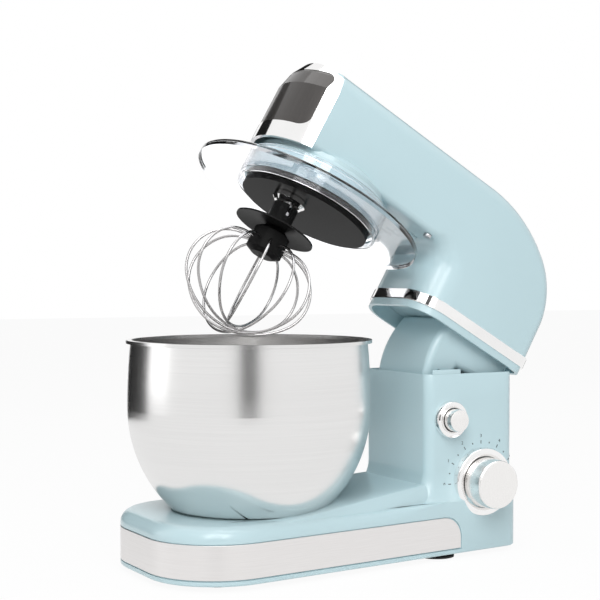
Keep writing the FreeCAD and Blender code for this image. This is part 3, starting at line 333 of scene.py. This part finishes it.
quarter = math.pi / 2
rings = [inset(base_plan, 1.0, 4.0), inset(base_plan, 0.0, 5.0), inset(base_plan, 0.0, 34.0)]
rings += [crown_ring(quarter * step / 8) for step in range(9)]
rings += [column_ring(FILLET * (1 - math.cos(quarter * step / 12))) for step in range(13)]
rings += [column_ring(50.0), column_ring(80.0), column_ring(COLUMN_TOP - DECK_TOP - 0.8)]
rings += [inset(column_plan, 0.3, COLUMN_TOP - 0.2), inset(column_plan, 0.9, COLUMN_TOP)]
rings += [inset(column_plan, WALL, COLUMN_TOP - 0.3), inset(column_plan, WALL, 60.0)]
rings += [inset(base_plan, WALL + 1, 42.0), inset(base_plan, WALL + 1, 4.4)]
housing = from_rings("housing", rings)

deselect()
bpy.ops.mesh.primitive_cylinder_add(vertices=128, radius=0.0606, depth=0.02, location=(0.0, BOWL_Y * MM, 0.0528))
seat_recess = bpy.context.object


def band_form(name, outer, inner, low, high, rear, corner):
    """A strip round the base's front and sides, its rear ends rounded at the top."""
    stations = [p for p in base_plan if p[1] < shoulder_y]
    split = len(stations) // 2
    right, left = stations[:split], stations[split:]
    ends = []
    for step in range(9):
        turn = quarter * step / 8
        ends.append((rear - corner * (1 - math.sin(turn)), high - corner * (1 - math.cos(turn))))
    right = [p for p in right if p[1] < rear - corner - 1.0]
    path = [(x, y, nx, ny, high) for x, y, nx, ny in right]
    path += [(side_x(y), y, *side_normal, top) for y, top in ends]
    path = [(-x, y, -nx, ny, top) for x, y, nx, ny, top in reversed(path[1:])] + path
    rings = []
    for x, y, nx, ny, top in path:
        rings.append(
            [
                (x + nx * away, y + ny * away, z)
                for away, z in ((outer - 0.3, low), (outer, low + 0.3), (outer, top - 0.3),
                                (outer - 0.3, top), (-inner, top), (-inner, low))
            ]
        )
    return from_rings(name, rings, closed=False)


BAND_LOW, BAND_HIGH, BAND_REAR, BAND_END = 8.3, 33.7, BOWL_Y + 162.0, 17.0
groove = band_form("groove", 2.0, 1.2, BAND_LOW - 0.8, BAND_HIGH + 0.8, BAND_REAR + 0.9, BAND_END)
tidy(housing, aqua_plastic)
tidy(groove, aqua_plastic)
tidy(seat_recess, aqua_plastic)
cut(housing, groove, seat_recess)
deselect()
bpy.ops.mesh.primitive_cube_add(size=1.0, location=(0.0455, COLUMN_FRONT * MM + 0.019, 0.1488))
tab = bpy.context.object
tab.scale = (0.0026, 0.027, 0.004)
bpy.ops.object.transform_apply(location=True, rotation=False, scale=True)
bpy.ops.object.modifier_add(type="BEVEL")
tab.modifiers[-1].width, tab.modifiers[-1].segments = 0.0008, 3
bpy.ops.object.modifier_apply(modifier=tab.modifiers[-1].name)
tidy(tab, aqua_plastic)
choose(housing, tab)
bpy.ops.object.join()
tidy(housing, aqua_plastic, outward=False)
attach(housing, "base")
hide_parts("base_housing")

# ---------------------------------------------------------------------------
# Underside of the base: a black moulded cover screwed up into the housing,
# with the cord's soft grommet at the back and four suction feet of rubber.
# ---------------------------------------------------------------------------

black_cover = Finish("black_cover", Specular_IOR_Level=0.4)
grain = black_cover.noise((900.0, 900.0, 900.0), 3.0)
black_cover.feed(
    Base_Color=black_cover.shade(grain, (0.018, 0.019, 0.020), (0.032, 0.033, 0.034)),
    Roughness=0.55 + 0.15 * grain,
    Normal=black_cover.bump(grain, 0.3, 0.0003),
)
paint(black_cover, "base_plate", "latch_guide")

foot_rubber = Finish("foot_rubber")
grip = foot_rubber.noise((300.0, 300.0, 300.0), 4.0)
foot_rubber.feed(
    Base_Color=foot_rubber.shade(grip, (0.022, 0.022, 0.023), (0.045, 0.045, 0.046)),
    Roughness=0.65 + 0.2 * grip,
    Normal=foot_rubber.bump(grip, 0.2, 0.0004),
)
paint(foot_rubber, "suction_feet", "cord_grommet")

screw_steel = Finish("screw_steel", Metallic=1.0)
turning = screw_steel.noise((1500.0, 1500.0, 1500.0))
screw_steel.feed(
    Base_Color=screw_steel.shade(turning, (0.52, 0.52, 0.53), (0.66, 0.66, 0.67)),
    Roughness=0.28 + 0.12 * turning,
)
paint(
    screw_steel, "base_screws", "cover_screws", "hinge_pin", "knob_shaft", "button_spring",
    "main_shaft", "lay_shaft", "motor_shaft", "tool_shaft", "drive_pin", "front_bearing",
    "rear_bearing", "carrier_bearing",
)

# ---------------------------------------------------------------------------
# Trim band round the base: a strip of stainless steel, brushed along its
# length and pressed into a shallow groove of the housing.
# ---------------------------------------------------------------------------

brushed_band = Finish("brushed_band", Metallic=1.0)
strokes = brushed_band.noise((30.0, 30.0, 3800.0), 3.0, 0.6)
cloud = brushed_band.noise((14.0, 14.0, 14.0))
brushed_band.feed(
    Base_Color=brushed_band.shade(strokes, (0.70, 0.68, 0.67), (0.86, 0.845, 0.84)),
    Roughness=0.27 + 0.13 * strokes + 0.05 * cloud,
    Normal=brushed_band.bump(strokes, 0.25, 0.0001),
)
band = tidy(
    band_form("base_band", 0.0, 1.15, BAND_LOW, BAND_HIGH, BAND_REAR, BAND_END - 0.4), brushed_band
)
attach(band, "base")
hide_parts("base_trim_band")

# ---------------------------------------------------------------------------
# Bowl and its seat. The bowl is deep-drawn stainless steel, polished and
# lightly brushed round and round; its foot ring turns into the moulded seat.
# ---------------------------------------------------------------------------

bowl_steel = Finish("bowl_steel", Metallic=1.0, Anisotropic=0.55)
rings = bowl_steel.noise((8.0, 8.0, 2600.0), 3.0, 0.6)
haze = bowl_steel.noise((11.0, 11.0, 4.0))
bowl_steel.feed(
    Base_Color=bowl_steel.shade(rings, (0.74, 0.735, 0.73), (0.84, 0.835, 0.83)),
    Roughness=0.17 + 0.05 * rings + 0.04 * haze,
    Normal=bowl_steel.bump(rings, 0.12, 0.0001),
)
paint(bowl_steel, "mixing_bowl", "bowl_foot")

# The seat is the aqua plastic darkened: painted shade for the shadow that falls round the bowl's foot in its recess.
seat_painted_shade = Finish("seat_painted_shade", IOR=1.5)
seat_grain = seat_painted_shade.noise((500.0, 500.0, 500.0))
seat_painted_shade.feed(
    Base_Color=seat_painted_shade.shade(seat_grain, (0.30, 0.46, 0.48), (0.34, 0.50, 0.52)),
    Roughness=0.38 + 0.1 * seat_grain,
)
paint(seat_painted_shade, "bowl_seat")

# ---------------------------------------------------------------------------
# Speed dial and release button: chromed outer rings fixed on the column's
# side, with a satin-faced knob that turns and a button that is pushed in.
# ---------------------------------------------------------------------------

chrome = Finish("chrome", Metallic=1.0)
wipe = chrome.noise((60.0, 60.0, 60.0), 4.0, 0.6)
chrome.feed(
    Base_Color=chrome.shade(wipe, (0.86, 0.855, 0.85), (0.93, 0.925, 0.92)),
    Roughness=0.05 + 0.05 * wipe,
)
paint(chrome, "front_cap", "shaft_collar")

satin_chrome = Finish("satin_chrome", Metallic=1.0)
facing = satin_chrome.noise((200.0, 2600.0, 200.0), 3.0)
satin_chrome.feed(
    Base_Color=satin_chrome.shade(facing, (0.84, 0.825, 0.81), (0.92, 0.91, 0.90)),
    Roughness=0.22 + 0.08 * facing,
)

ALONG_X, ALONG_Z = Vector((1, 0, 0)), Vector((0, 0, 1))


def turned(name, profile, centre, axis, finish, round_edges=0.0, steps=96, angle=35.0):
    """A piece turned about an axis; the profile is radius and height in millimetres."""
    across = ALONG_Z if axis is ALONG_X else ALONG_X
    middle = Vector(centre)
    points = [(middle + across * radius + axis * height) * MM for radius, height in profile]
    edges = [(i, i + 1) for i in range(len(points) - 1)]
    if profile[0][0] > 0 or profile[-1][0] > 0:
        edges.append((len(points) - 1, 0))
    mesh = bpy.data.meshes.new(name)
    mesh.from_pydata(points, edges, [])
    piece = bpy.data.objects.new(name, mesh)
    bpy.context.scene.collection.objects.link(piece)
    choose(piece)
    bpy.ops.object.mode_set(mode="EDIT")
    bpy.ops.mesh.select_all(action="SELECT")
    bpy.ops.mesh.spin(steps=steps, angle=math.tau, center=middle * MM, axis=axis)
    tidy(piece, finish, angle)
    if round_edges:
        bpy.ops.object.modifier_add(type="BEVEL")
        modifier = piece.modifiers[-1]
        modifier.width, modifier.segments, modifier.angle_limit = round_edges, 3, math.radians(30)
        bpy.ops.object.modifier_apply(modifier=modifier.name)
        tidy(piece, finish, angle)
    return piece


KNOB_Y, KNOB_Z = BOWL_Y + 186.8, 59.1
BUTTON_Y, BUTTON_Z = BOWL_Y + 156.0, 110.9
knob_bezel = turned(
    "knob_bezel",
    [(20.8, 44.2), (23.3, 44.2), (23.3, 47.0), (27.7, 47.0), (27.7, 51.2), (26.9, 53.0), (24.6, 54.0),
     (22.6, 54.0), (21.6, 53.2), (20.8, 52.6)],
    (0, KNOB_Y, KNOB_Z), ALONG_X, chrome, 0.0004,
)
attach(knob_bezel, "base")
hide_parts("knob_ring")
dial = turned(
    "dial",
    [(3.06, 46.2), (20.3, 46.2), (20.3, 56.0), (19.4, 69.6), (19.0, 70.8), (18.2, 71.5), (17.0, 71.7),
     (0.0, 71.7), (0.0, 59.0), (3.06, 59.0)],
    (0, KNOB_Y, KNOB_Z), ALONG_X, satin_chrome,
)
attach(dial, "knob")
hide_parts("speed_knob")
button_bezel = turned(
    "button_bezel",
    [(9.7, 41.2), (11.6, 41.2), (11.6, 47.0), (15.0, 47.0), (15.0, 50.4), (14.2, 52.0), (12.6, 53.0),
     (10.8, 53.0), (9.7, 52.4)],
    (0, BUTTON_Y, BUTTON_Z), ALONG_X, chrome, 0.0003,
)
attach(button_bezel, "base")
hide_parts("button_ring")
push_button = turned(
    "push_button",
    [(0.0, 30.0), (2.5, 30.0), (2.5, 43.0), (9.0, 43.0), (9.0, 59.8), (8.6, 60.9), (7.6, 61.4), (0.0, 61.5)],
    (0, BUTTON_Y, BUTTON_Z), ALONG_X, satin_chrome,
)
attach(push_button, "button")
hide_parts("release_button")

ink = Finish("ink", Specular_IOR_Level=0.3)
print_grain = ink.noise((1500.0, 1500.0, 1500.0))
ink.feed(
    Base_Color=ink.shade(print_grain, (0.035, 0.05, 0.06), (0.07, 0.09, 0.10)),
    Roughness=0.5 + 0.1 * print_grain,
)


def on_side(y, z):
    """The housing's right side surface at this place."""
    hit, where, _, _ = housing.ray_cast(Vector((0.2, y * MM, z * MM)), Vector((-1, 0, 0)))
    return where.x


marks = []
for step in range(13):
    turn = math.radians(15.0 * step)
    out_y, out_z = math.cos(turn), math.sin(turn)
    length, width = (2.6, 0.65) if step % 2 == 0 else (1.3, 0.8)
    centre_y, centre_z = KNOB_Y + out_y * 32.0, KNOB_Z + out_z * 32.0
    deselect()
    bpy.ops.mesh.primitive_cube_add(size=1.0)
    mark = bpy.context.object
    mark.data.transform(
        Matrix.Translation((on_side(centre_y, centre_z), centre_y * MM, centre_z * MM))
        @ Matrix.Rotation(turn, 4, "X")
        @ Matrix.Diagonal((0.0002, length * MM, width * MM, 1.0))
    )
    marks.append(mark)
    if step % 2 == 0:
        bpy.ops.object.text_add()
        digit = bpy.context.object
        digit.data.body, digit.data.size = str(6 - step // 2), 0.0036
        digit.data.align_x, digit.data.align_y = "CENTER", "CENTER"
        digit.data.extrude = 0.0001
        bpy.ops.object.convert(target="MESH")
        centre_y, centre_z = KNOB_Y + out_y * 37.0, KNOB_Z + out_z * 37.0
        digit.data.transform(
            Matrix.Translation((on_side(centre_y, centre_z), centre_y * MM, centre_z * MM))
            @ Matrix.Rotation(math.pi / 2, 4, "Z")
            @ Matrix.Rotation(math.pi / 2, 4, "X")
        )
        marks.append(digit)
choose(*marks)
bpy.ops.object.join()
dial_marks = bpy.context.object
dial_marks.name = "dial_marks"
tidy(dial_marks, ink)
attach(dial_marks, "base")

circuit_board = Finish("circuit_board", IOR=1.5)
tracks = circuit_board.noise((240.0, 240.0, 240.0), 3.0)
circuit_board.feed(
    Base_Color=circuit_board.shade(tracks.between(0.5, 0.56), (0.01, 0.09, 0.035), (0.03, 0.20, 0.07)),
    Roughness=0.35 + 0.2 * tracks,
)
paint(circuit_board, "control_board")

black_plastic = Finish("black_plastic", IOR=1.3, Specular_IOR_Level=0.05)
fleck = black_plastic.noise((700.0, 700.0, 700.0), 2.0)
black_plastic.feed(
    Base_Color=black_plastic.shade(fleck, (0.010, 0.010, 0.010), (0.017, 0.017, 0.017)),
    Roughness=0.26 + 0.1 * fleck,
    Normal=black_plastic.bump(fleck, 0.08, 0.0002),
)
paint(
    black_plastic, "speed_switch", "latch_bar", "whisk_hub", "whisk_disc", "planet_carrier",
    "cooling_fan", "commutator",
)

# ---------------------------------------------------------------------------
# Hinge and gearbox: die-cast frames, steel and nylon gears, and the motor
# with its laminated stator and carbon brushes; its copper windings get no finish here.
# ---------------------------------------------------------------------------

die_cast = Finish("die_cast", Metallic=0.9)
casting = die_cast.noise((350.0, 350.0, 350.0), 4.0)
die_cast.feed(
    Base_Color=die_cast.shade(casting, (0.42, 0.43, 0.44), (0.54, 0.55, 0.56)),
    Roughness=0.45 + 0.2 * casting,
    Normal=die_cast.bump(casting, 0.25, 0.0003),
)
paint(die_cast, "hinge_bracket", "gearbox_frame", "gearbox_bridge", "motor_mount")

gear_steel = Finish("gear_steel", Metallic=1.0)
hobbing = gear_steel.noise((90.0, 90.0, 1800.0), 2.0)
gear_steel.feed(
    Base_Color=gear_steel.shade(hobbing, (0.40, 0.39, 0.37), (0.55, 0.54, 0.52)),
    Roughness=0.3 + 0.15 * hobbing,
)
paint(gear_steel, "pinion", "planet_gear", "worm", "ring_gear")

gear_nylon = Finish("gear_nylon", IOR=1.5)
milky = gear_nylon.noise((120.0, 120.0, 120.0), 2.0)
gear_nylon.feed(
    Base_Color=gear_nylon.shade(milky, (0.70, 0.68, 0.60), (0.78, 0.76, 0.69)),
    Roughness=0.42 + 0.1 * milky,
)
paint(gear_nylon, "main_gear", "worm_wheel")

laminations = Finish("laminations", Metallic=0.8)
plates = laminations.noise((40.0, 3000.0, 40.0), 1.0)
laminations.feed(
    Base_Color=laminations.shade(plates, (0.16, 0.16, 0.17), (0.34, 0.34, 0.35)),
    Roughness=0.4 + 0.2 * plates,
)
paint(laminations, "motor_stator", "armature")

carbon = Finish("carbon")
soot = carbon.noise((800.0, 800.0, 800.0), 3.0)
carbon.feed(
    Base_Color=carbon.shade(soot, (0.015, 0.015, 0.016), (0.05, 0.05, 0.052)),
    Roughness=0.5 + 0.3 * soot,
)
paint(carbon, "carbon_brushes")

# ---------------------------------------------------------------------------
# Head shell. The same aqua plastic: a long arched body with a round skirt
# under its front and a neck under its rear, made here as it lies when closed
# and then swung up about the hinge to its open place.
# ---------------------------------------------------------------------------

HINGE = Vector((0.0, (BOWL_Y + 210.0) * MM, 0.135))
SWUNG_UP = Matrix.Translation(HINGE) @ Matrix.Rotation(math.radians(-30.0), 4, "X") @ Matrix.Translation(-HINGE)
HEAD_HALF, CREST, HEAD_BOTTOM, NECK_BOTTOM = 46.0, 280.6, 207.0, 151.3
SHELL_FRONT, HEAD_REAR = BOWL_Y - 40.0, BOWL_Y + 222.0
NECK_FRONT, NECK_CORNER = BOWL_Y + 103.0, 28.0


def swing_up(piece):
    piece.data.transform(SWUNG_UP)
    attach(piece, "head")
    return piece


top_join = math.degrees(math.asin(33.0 / 53.0))
side_view = [(y, CREST, 0.0, 1.0, 12.0, 9.0) for y in (BOWL_Y - 60, BOWL_Y - 20, BOWL_Y + 20, BOWL_Y + 60, BOWL_Y + 95)]
for step in range(11):
    turn = math.radians(90.0 - top_join * step / 10)
    side_view.append(
        (BOWL_Y + 120 + 122 * math.cos(turn), CREST - 122 + 122 * math.sin(turn), math.cos(turn),
         math.sin(turn), 12.0 - 5.0 * step / 10, 9.0 - 1.5 * step / 10)
    )
small_z = CREST - 122 + 53 * math.cos(math.radians(top_join))
for step in range(1, 15):
    turn = math.radians((90.0 - top_join) * (1 - step / 14))
    side_view.append(
        (BOWL_Y + 153 + 69 * math.cos(turn), small_z + 69 * math.sin(turn), math.cos(turn),
         math.sin(turn), 7.0 - 6.0 * step / 14, 7.5)
    )
side_view += [(HEAD_REAR, z, 1.0, 0.0, 1.0, 7.5) for z in (185.0, 170.0, 155.0, 140.0)]
side_view += [(y, 138.0, 0.0, -1.0, 0.5, 9.0) for y in (HEAD_REAR - 12, NECK_FRONT + 40)]
side_view += [(NECK_FRONT, z, -1.0, 0.0, 0.0, NECK_CORNER) for z in (140.0, 150.0, 160.0, 170.0, 180.0, 188.0)]
for step in range(7):
    turn = math.radians(90.0 * step / 6)
    side_view.append(
        (NECK_FRONT - 12 + 12 * math.cos(turn), HEAD_BOTTOM - 12 + 12 * math.sin(turn),
         -math.cos(turn), -math.sin(turn), 0.5 * step / 6, NECK_CORNER - (NECK_CORNER - 5.0) * step / 6)
    )
side_view += [(y, HEAD_BOTTOM, 0.0, -1.0, 0.5, 5.0) for y in (BOWL_Y + 80, BOWL_Y + 30, BOWL_Y - 20, BOWL_Y - 60)]


def head_ring(share, turn):
    """One lengthwise line of the head: share of the flat width, or an angle round the edge."""
    ring = []
    for y, z, ny, nz, arch, edge in side_view:
        flat = HEAD_HALF - edge
        x = flat * share + edge * math.sin(turn)
        sunk = arch * (x / HEAD_HALF) ** 2 + edge * (1 - math.cos(turn))
        ring.append((x, y - ny * sunk, z - nz * sunk))
    return ring


right_rings = [head_ring(share, 0.0) for share in (0.25, 0.5, 0.75, 1.0)]
right_rings += [head_ring(1.0, quarter * step / 8) for step in range(1, 9)]
left_rings = [[(-x, y, z) for x, y, z in ring] for ring in reversed(right_rings)]
SHELL_RIM = 0.0028
shell = from_rings("shell", left_rings + [head_ring(0.0, 0.0)] + right_rings, closed=False)
tidy(shell, aqua_plastic)
choose(shell)
bpy.ops.object.mode_set(mode="EDIT")
for place, facing_out in (
    ((0, SHELL_FRONT * MM, 0), (0, -1, 0)),
    ((0, 0, NECK_BOTTOM * MM), (0, 0, -1)),
):
    bpy.ops.mesh.select_all(action="SELECT")
    bpy.ops.mesh.bisect(plane_co=place, plane_no=facing_out, use_fill=True, clear_outer=True)
bpy.ops.mesh.inset(thickness=SHELL_RIM)
bpy.ops.mesh.extrude_region_move(TRANSFORM_OT_translate={"value": (0, 0, 0.012)})
bpy.ops.object.mode_set(mode="OBJECT")
tidy(shell, aqua_plastic, 28.0, outward=False)

vents = []
for x in (-18.0, -9.0, 0.0, 9.0, 18.0):
    deselect()
    bpy.ops.mesh.primitive_cube_add(size=1.0)
    vent = bpy.context.object
    vent.data.transform(
        Matrix.Translation((x * MM, (BOWL_Y + 79 + x * 0.3) * MM, HEAD_BOTTOM * MM))
        @ Matrix.Diagonal((0.0022, 0.015, 0.006, 1.0))
    )
    vents.append(vent)
cut(shell, *vents)
tidy(shell, aqua_plastic, 28.0, outward=False)
swing_up(shell)
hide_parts("head_shell")

skirt = turned(
    "skirt",
    [(54.5, 184.5), (56.4, 184.5), (57.0, 185.1), (57.0, 197.0), (56.6, 201.0), (55.3, 205.0), (53.0, 209.0),
     (50.0, 212.5), (46.5, 215.5), (43.0, 217.5), (16.0, 217.5), (16.0, 209.5), (54.5, 209.5)],
    (0, BOWL_Y, 0), ALONG_Z, aqua_plastic,
)
swing_up(skirt)
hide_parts("head_underside")

# ---------------------------------------------------------------------------
# Neck. A chromed band is clipped round the neck, and the moulded block in
# the neck reaches down into the column, with a curved tongue in front whose
# hole takes the latch.
# ---------------------------------------------------------------------------


def neck_section(half, front, back, corner, rear_corner, z):
    ring = []
    for x, y, radius, start in (
        (half - rear_corner, back - rear_corner, rear_corner, 0),
        (rear_corner - half, back - rear_corner, rear_corner, 90),
        (corner - half, front + corner, corner, 180),
        (half - corner, front + corner, corner, 270),
    ):
        for px, py, _, _ in corner_arc(x, y, radius, start, start + 90, 17):
            ring.append((px, py, z))
    return ring


plate = [
    neck_section(HEAD_HALF + out, NECK_FRONT - out, HEAD_REAR + out, NECK_CORNER + out, 7.5 + out, z)
    for out, z in ((-2.0, 157.0), (0.8, 157.0), (1.2, 157.5), (1.2, 165.5), (0.8, 166.0), (-2.0, 166.0))
]
neck_ring = tidy(from_rings("neck_ring", plate), chrome)
swing_up(neck_ring)
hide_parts("neck_band")

BLOCK_HALF, SWEEP = 36.0, 71.6
LATCH_HOLE_RADIUS = 0.0034
hinge_y, hinge_z = BOWL_Y + 210.0, 135.0
block_side = [(BOWL_Y + 143, 163.0)]
for step in range(13):
    turn = math.radians(16.0 - 50.0 * step / 12)
    block_side.append((hinge_y - SWEEP * math.cos(turn), hinge_z + SWEEP * math.sin(turn)))
block_side += [
    (BOWL_Y + 166, 97.0),
    (BOWL_Y + 168, 129.0),
    (BOWL_Y + 203, 131.0),
    (BOWL_Y + 214, 140.0),
    (BOWL_Y + 214, 163.0),
]
block = from_rings("block", [[(x, y, z) for y, z in block_side] for x in (-BLOCK_HALF, BLOCK_HALF)], closed=False)
tidy(block, aqua_plastic)
bpy.ops.object.modifier_add(type="BEVEL")
rounding = block.modifiers[-1]
rounding.width, rounding.segments, rounding.angle_limit = 0.005, 5, math.radians(35)
bpy.ops.object.modifier_apply(modifier=rounding.name)
deselect()
bpy.ops.mesh.primitive_cylinder_add(vertices=48, radius=LATCH_HOLE_RADIUS, depth=0.2)
latch_hole = bpy.context.object
latch_hole.data.transform(
    Matrix.Translation((0.0, (BOWL_Y + 153.5) * MM, 0.1150))
    @ Matrix.Diagonal((1.0, 1.0, 1.5, 1.0))
    @ Matrix.Rotation(math.pi / 2, 4, "Y")
)
cut(block, latch_hole)
tidy(block, aqua_plastic, 30.0, outward=False)
swing_up(block)
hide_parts("neck_block")

# ---------------------------------------------------------------------------
# Front panel: a smoked acrylic plate in the chromed cap, metallised on the
# back so that it shows as a dark warm grey.
# ---------------------------------------------------------------------------

smoked_panel = Finish("smoked_panel", Metallic=0.55, IOR=1.5)
film = smoked_panel.noise((1200.0, 40.0, 40.0), 2.0)
smoked_panel.feed(
    Base_Color=smoked_panel.shade(film, (0.040, 0.036, 0.034), (0.058, 0.053, 0.050)),
    Roughness=0.26 + 0.1 * film,
    Coat_Weight=0.5 + 0.1 * film,
)
paint(smoked_panel, "front_panel")

# ---------------------------------------------------------------------------
# Whisk: stainless wires sprung into a moulded hub.
# ---------------------------------------------------------------------------

wire_steel = Finish("wire_steel", Metallic=1.0)
drawn = wire_steel.noise((500.0, 500.0, 500.0), 2.0)
wire_steel.feed(
    Base_Color=wire_steel.shade(drawn, (0.40, 0.39, 0.39), (0.55, 0.54, 0.54)),
    Roughness=0.16 + 0.1 * drawn,
)
paint(wire_steel, "whisk_wires")

# ---------------------------------------------------------------------------
# Splash guard: one clear moulding that clips under the head's skirt.
# ---------------------------------------------------------------------------

clear_plastic = Finish("clear_plastic", Transmission_Weight=1.0, IOR=1.46)
flow = clear_plastic.noise((30.0, 30.0, 30.0), 2.0)
clear_plastic.feed(
    Base_Color=clear_plastic.shade(flow, (0.84, 0.85, 0.875), (0.88, 0.89, 0.91)),
    Roughness=0.03 + 0.03 * flow,
)
paint(clear_plastic, "splash_guard")

# ---------------------------------------------------------------------------
# Studio: a pale floor, soft lamps and the camera.
# ---------------------------------------------------------------------------

bpy.ops.object.select_all(action="DESELECT")
bpy.ops.mesh.primitive_plane_add(size=12.0, location=(0.0, 0.0, -0.0002))
floor = bpy.context.object
floor.name = "floor"
floor_finish = Finish("floor_pale", Roughness=0.9)
floor_finish.feed(
    Base_Color=floor_finish.shade(floor_finish.noise((2.0, 2.0, 2.0)), (0.90, 0.90, 0.90), (0.92, 0.92, 0.92))
)
rays = floor_finish.start.node("ShaderNodeLightPath", output="Is Camera Ray")
gloss = floor_finish.start.node("ShaderNodeLightPath", output="Is Glossy Ray")
through = floor_finish.start.node("ShaderNodeLightPath", output="Is Transmission Ray")
seen = (rays + gloss + through) * 0.94
white = floor_finish.start.node("ShaderNodeEmission", inputs={"Color": (1, 1, 1, 1), "Strength": 1.0})
mixed = floor_finish.start.node(
    "ShaderNodeMixShader",
    inputs={0: seen, 1: Value(floor_finish.start.tree, floor_finish.shader.outputs[0]), 2: white},
)
tree = floor_finish.start.tree
tree.links.new(mixed.socket, tree.nodes["Material Output"].inputs["Surface"])
floor.data.materials.append(floor_finish.material)

world = bpy.data.worlds.new("studio")
bpy.context.scene.world = world
world.use_nodes = True
sky = Value(world.node_tree)
seen = sum(
    (sky.node("ShaderNodeLightPath", output=ray) for ray in ("Is Glossy Ray", "Is Transmission Ray")),
    sky.node("ShaderNodeLightPath", output="Is Camera Ray"),
)
world.node_tree.nodes["Background"].inputs["Color"].default_value = (1, 1, 1, 1)
world.node_tree.links.new((0.24 + 0.76 * seen).socket, world.node_tree.nodes["Background"].inputs["Strength"])


def lamp(name, place, aim, size, power):
    bpy.ops.object.select_all(action="DESELECT")
    bpy.ops.object.light_add(type="AREA", location=place)
    made = bpy.context.object
    made.name = name
    made.data.shape = "RECTANGLE"
    made.data.size, made.data.size_y = size
    made.data.energy = power
    made.rotation_euler = (Vector(aim) - Vector(place)).to_track_quat("-Z", "Y").to_euler()


lamp("key_lamp", (1.3, -0.7, 1.3), (0.0, 0.0, 0.2), (1.2, 1.2), 22.0)
lamp("top_lamp", (0.0, 0.1, 1.6), (0.0, 0.0, 0.2), (1.4, 1.4), 9.0)
lamp("front_lamp", (-0.9, -1.5, 0.7), (0.0, 0.0, 0.2), (1.0, 1.4), 3.0)

flag_black = Finish("flag_black", Roughness=1.0, Specular_IOR_Level=0.0)
flag_black.feed(
    Base_Color=flag_black.shade(flag_black.noise((3.0, 3.0, 3.0)), (0.012, 0.012, 0.012), (0.02, 0.02, 0.02))
)
for number, (bearing, distance, width, tall) in enumerate(
    ((-27.0, 1.30, 0.36, 1.6), (-158.0, 0.9, 0.9, 1.3), (136.0, 0.9, 0.8, 1.3))
):
    turn = math.radians(bearing)
    deselect()
    bpy.ops.mesh.primitive_plane_add(size=1.0)
    flag = bpy.context.object
    flag.name = f"flag_{number}"
    flag.data.transform(
        Matrix.Translation((distance * math.cos(turn), distance * math.sin(turn) - 0.084, tall / 2 - 0.3))
        @ Matrix.Rotation(turn, 4, "Z")
        @ Matrix.Rotation(math.pi / 2, 4, "Y")
        @ Matrix.Diagonal((tall, width, 1.0, 1.0))
    )
    flag.data.materials.append(flag_black.material)
    flag.visible_camera = flag.visible_diffuse = flag.visible_shadow = flag.visible_transmission = False

eye = Vector((0.9744, -0.5828, 0.2269))
yaw, pitch = 2.6326, -0.03225
ahead = Vector((math.cos(pitch) * math.cos(yaw), math.cos(pitch) * math.sin(yaw), math.sin(pitch)))
camera_data = bpy.data.cameras.new("camera")
camera_data.lens = 84.9
camera_data.shift_y = 0.0333
camera = bpy.data.objects.new("camera", camera_data)
camera.location = eye
camera.rotation_euler = ahead.to_track_quat("-Z", "Y").to_euler()
bpy.context.scene.collection.objects.link(camera)
bpy.context.scene.camera = camera
bpy.context.scene.view_settings.view_transform = "Standard"
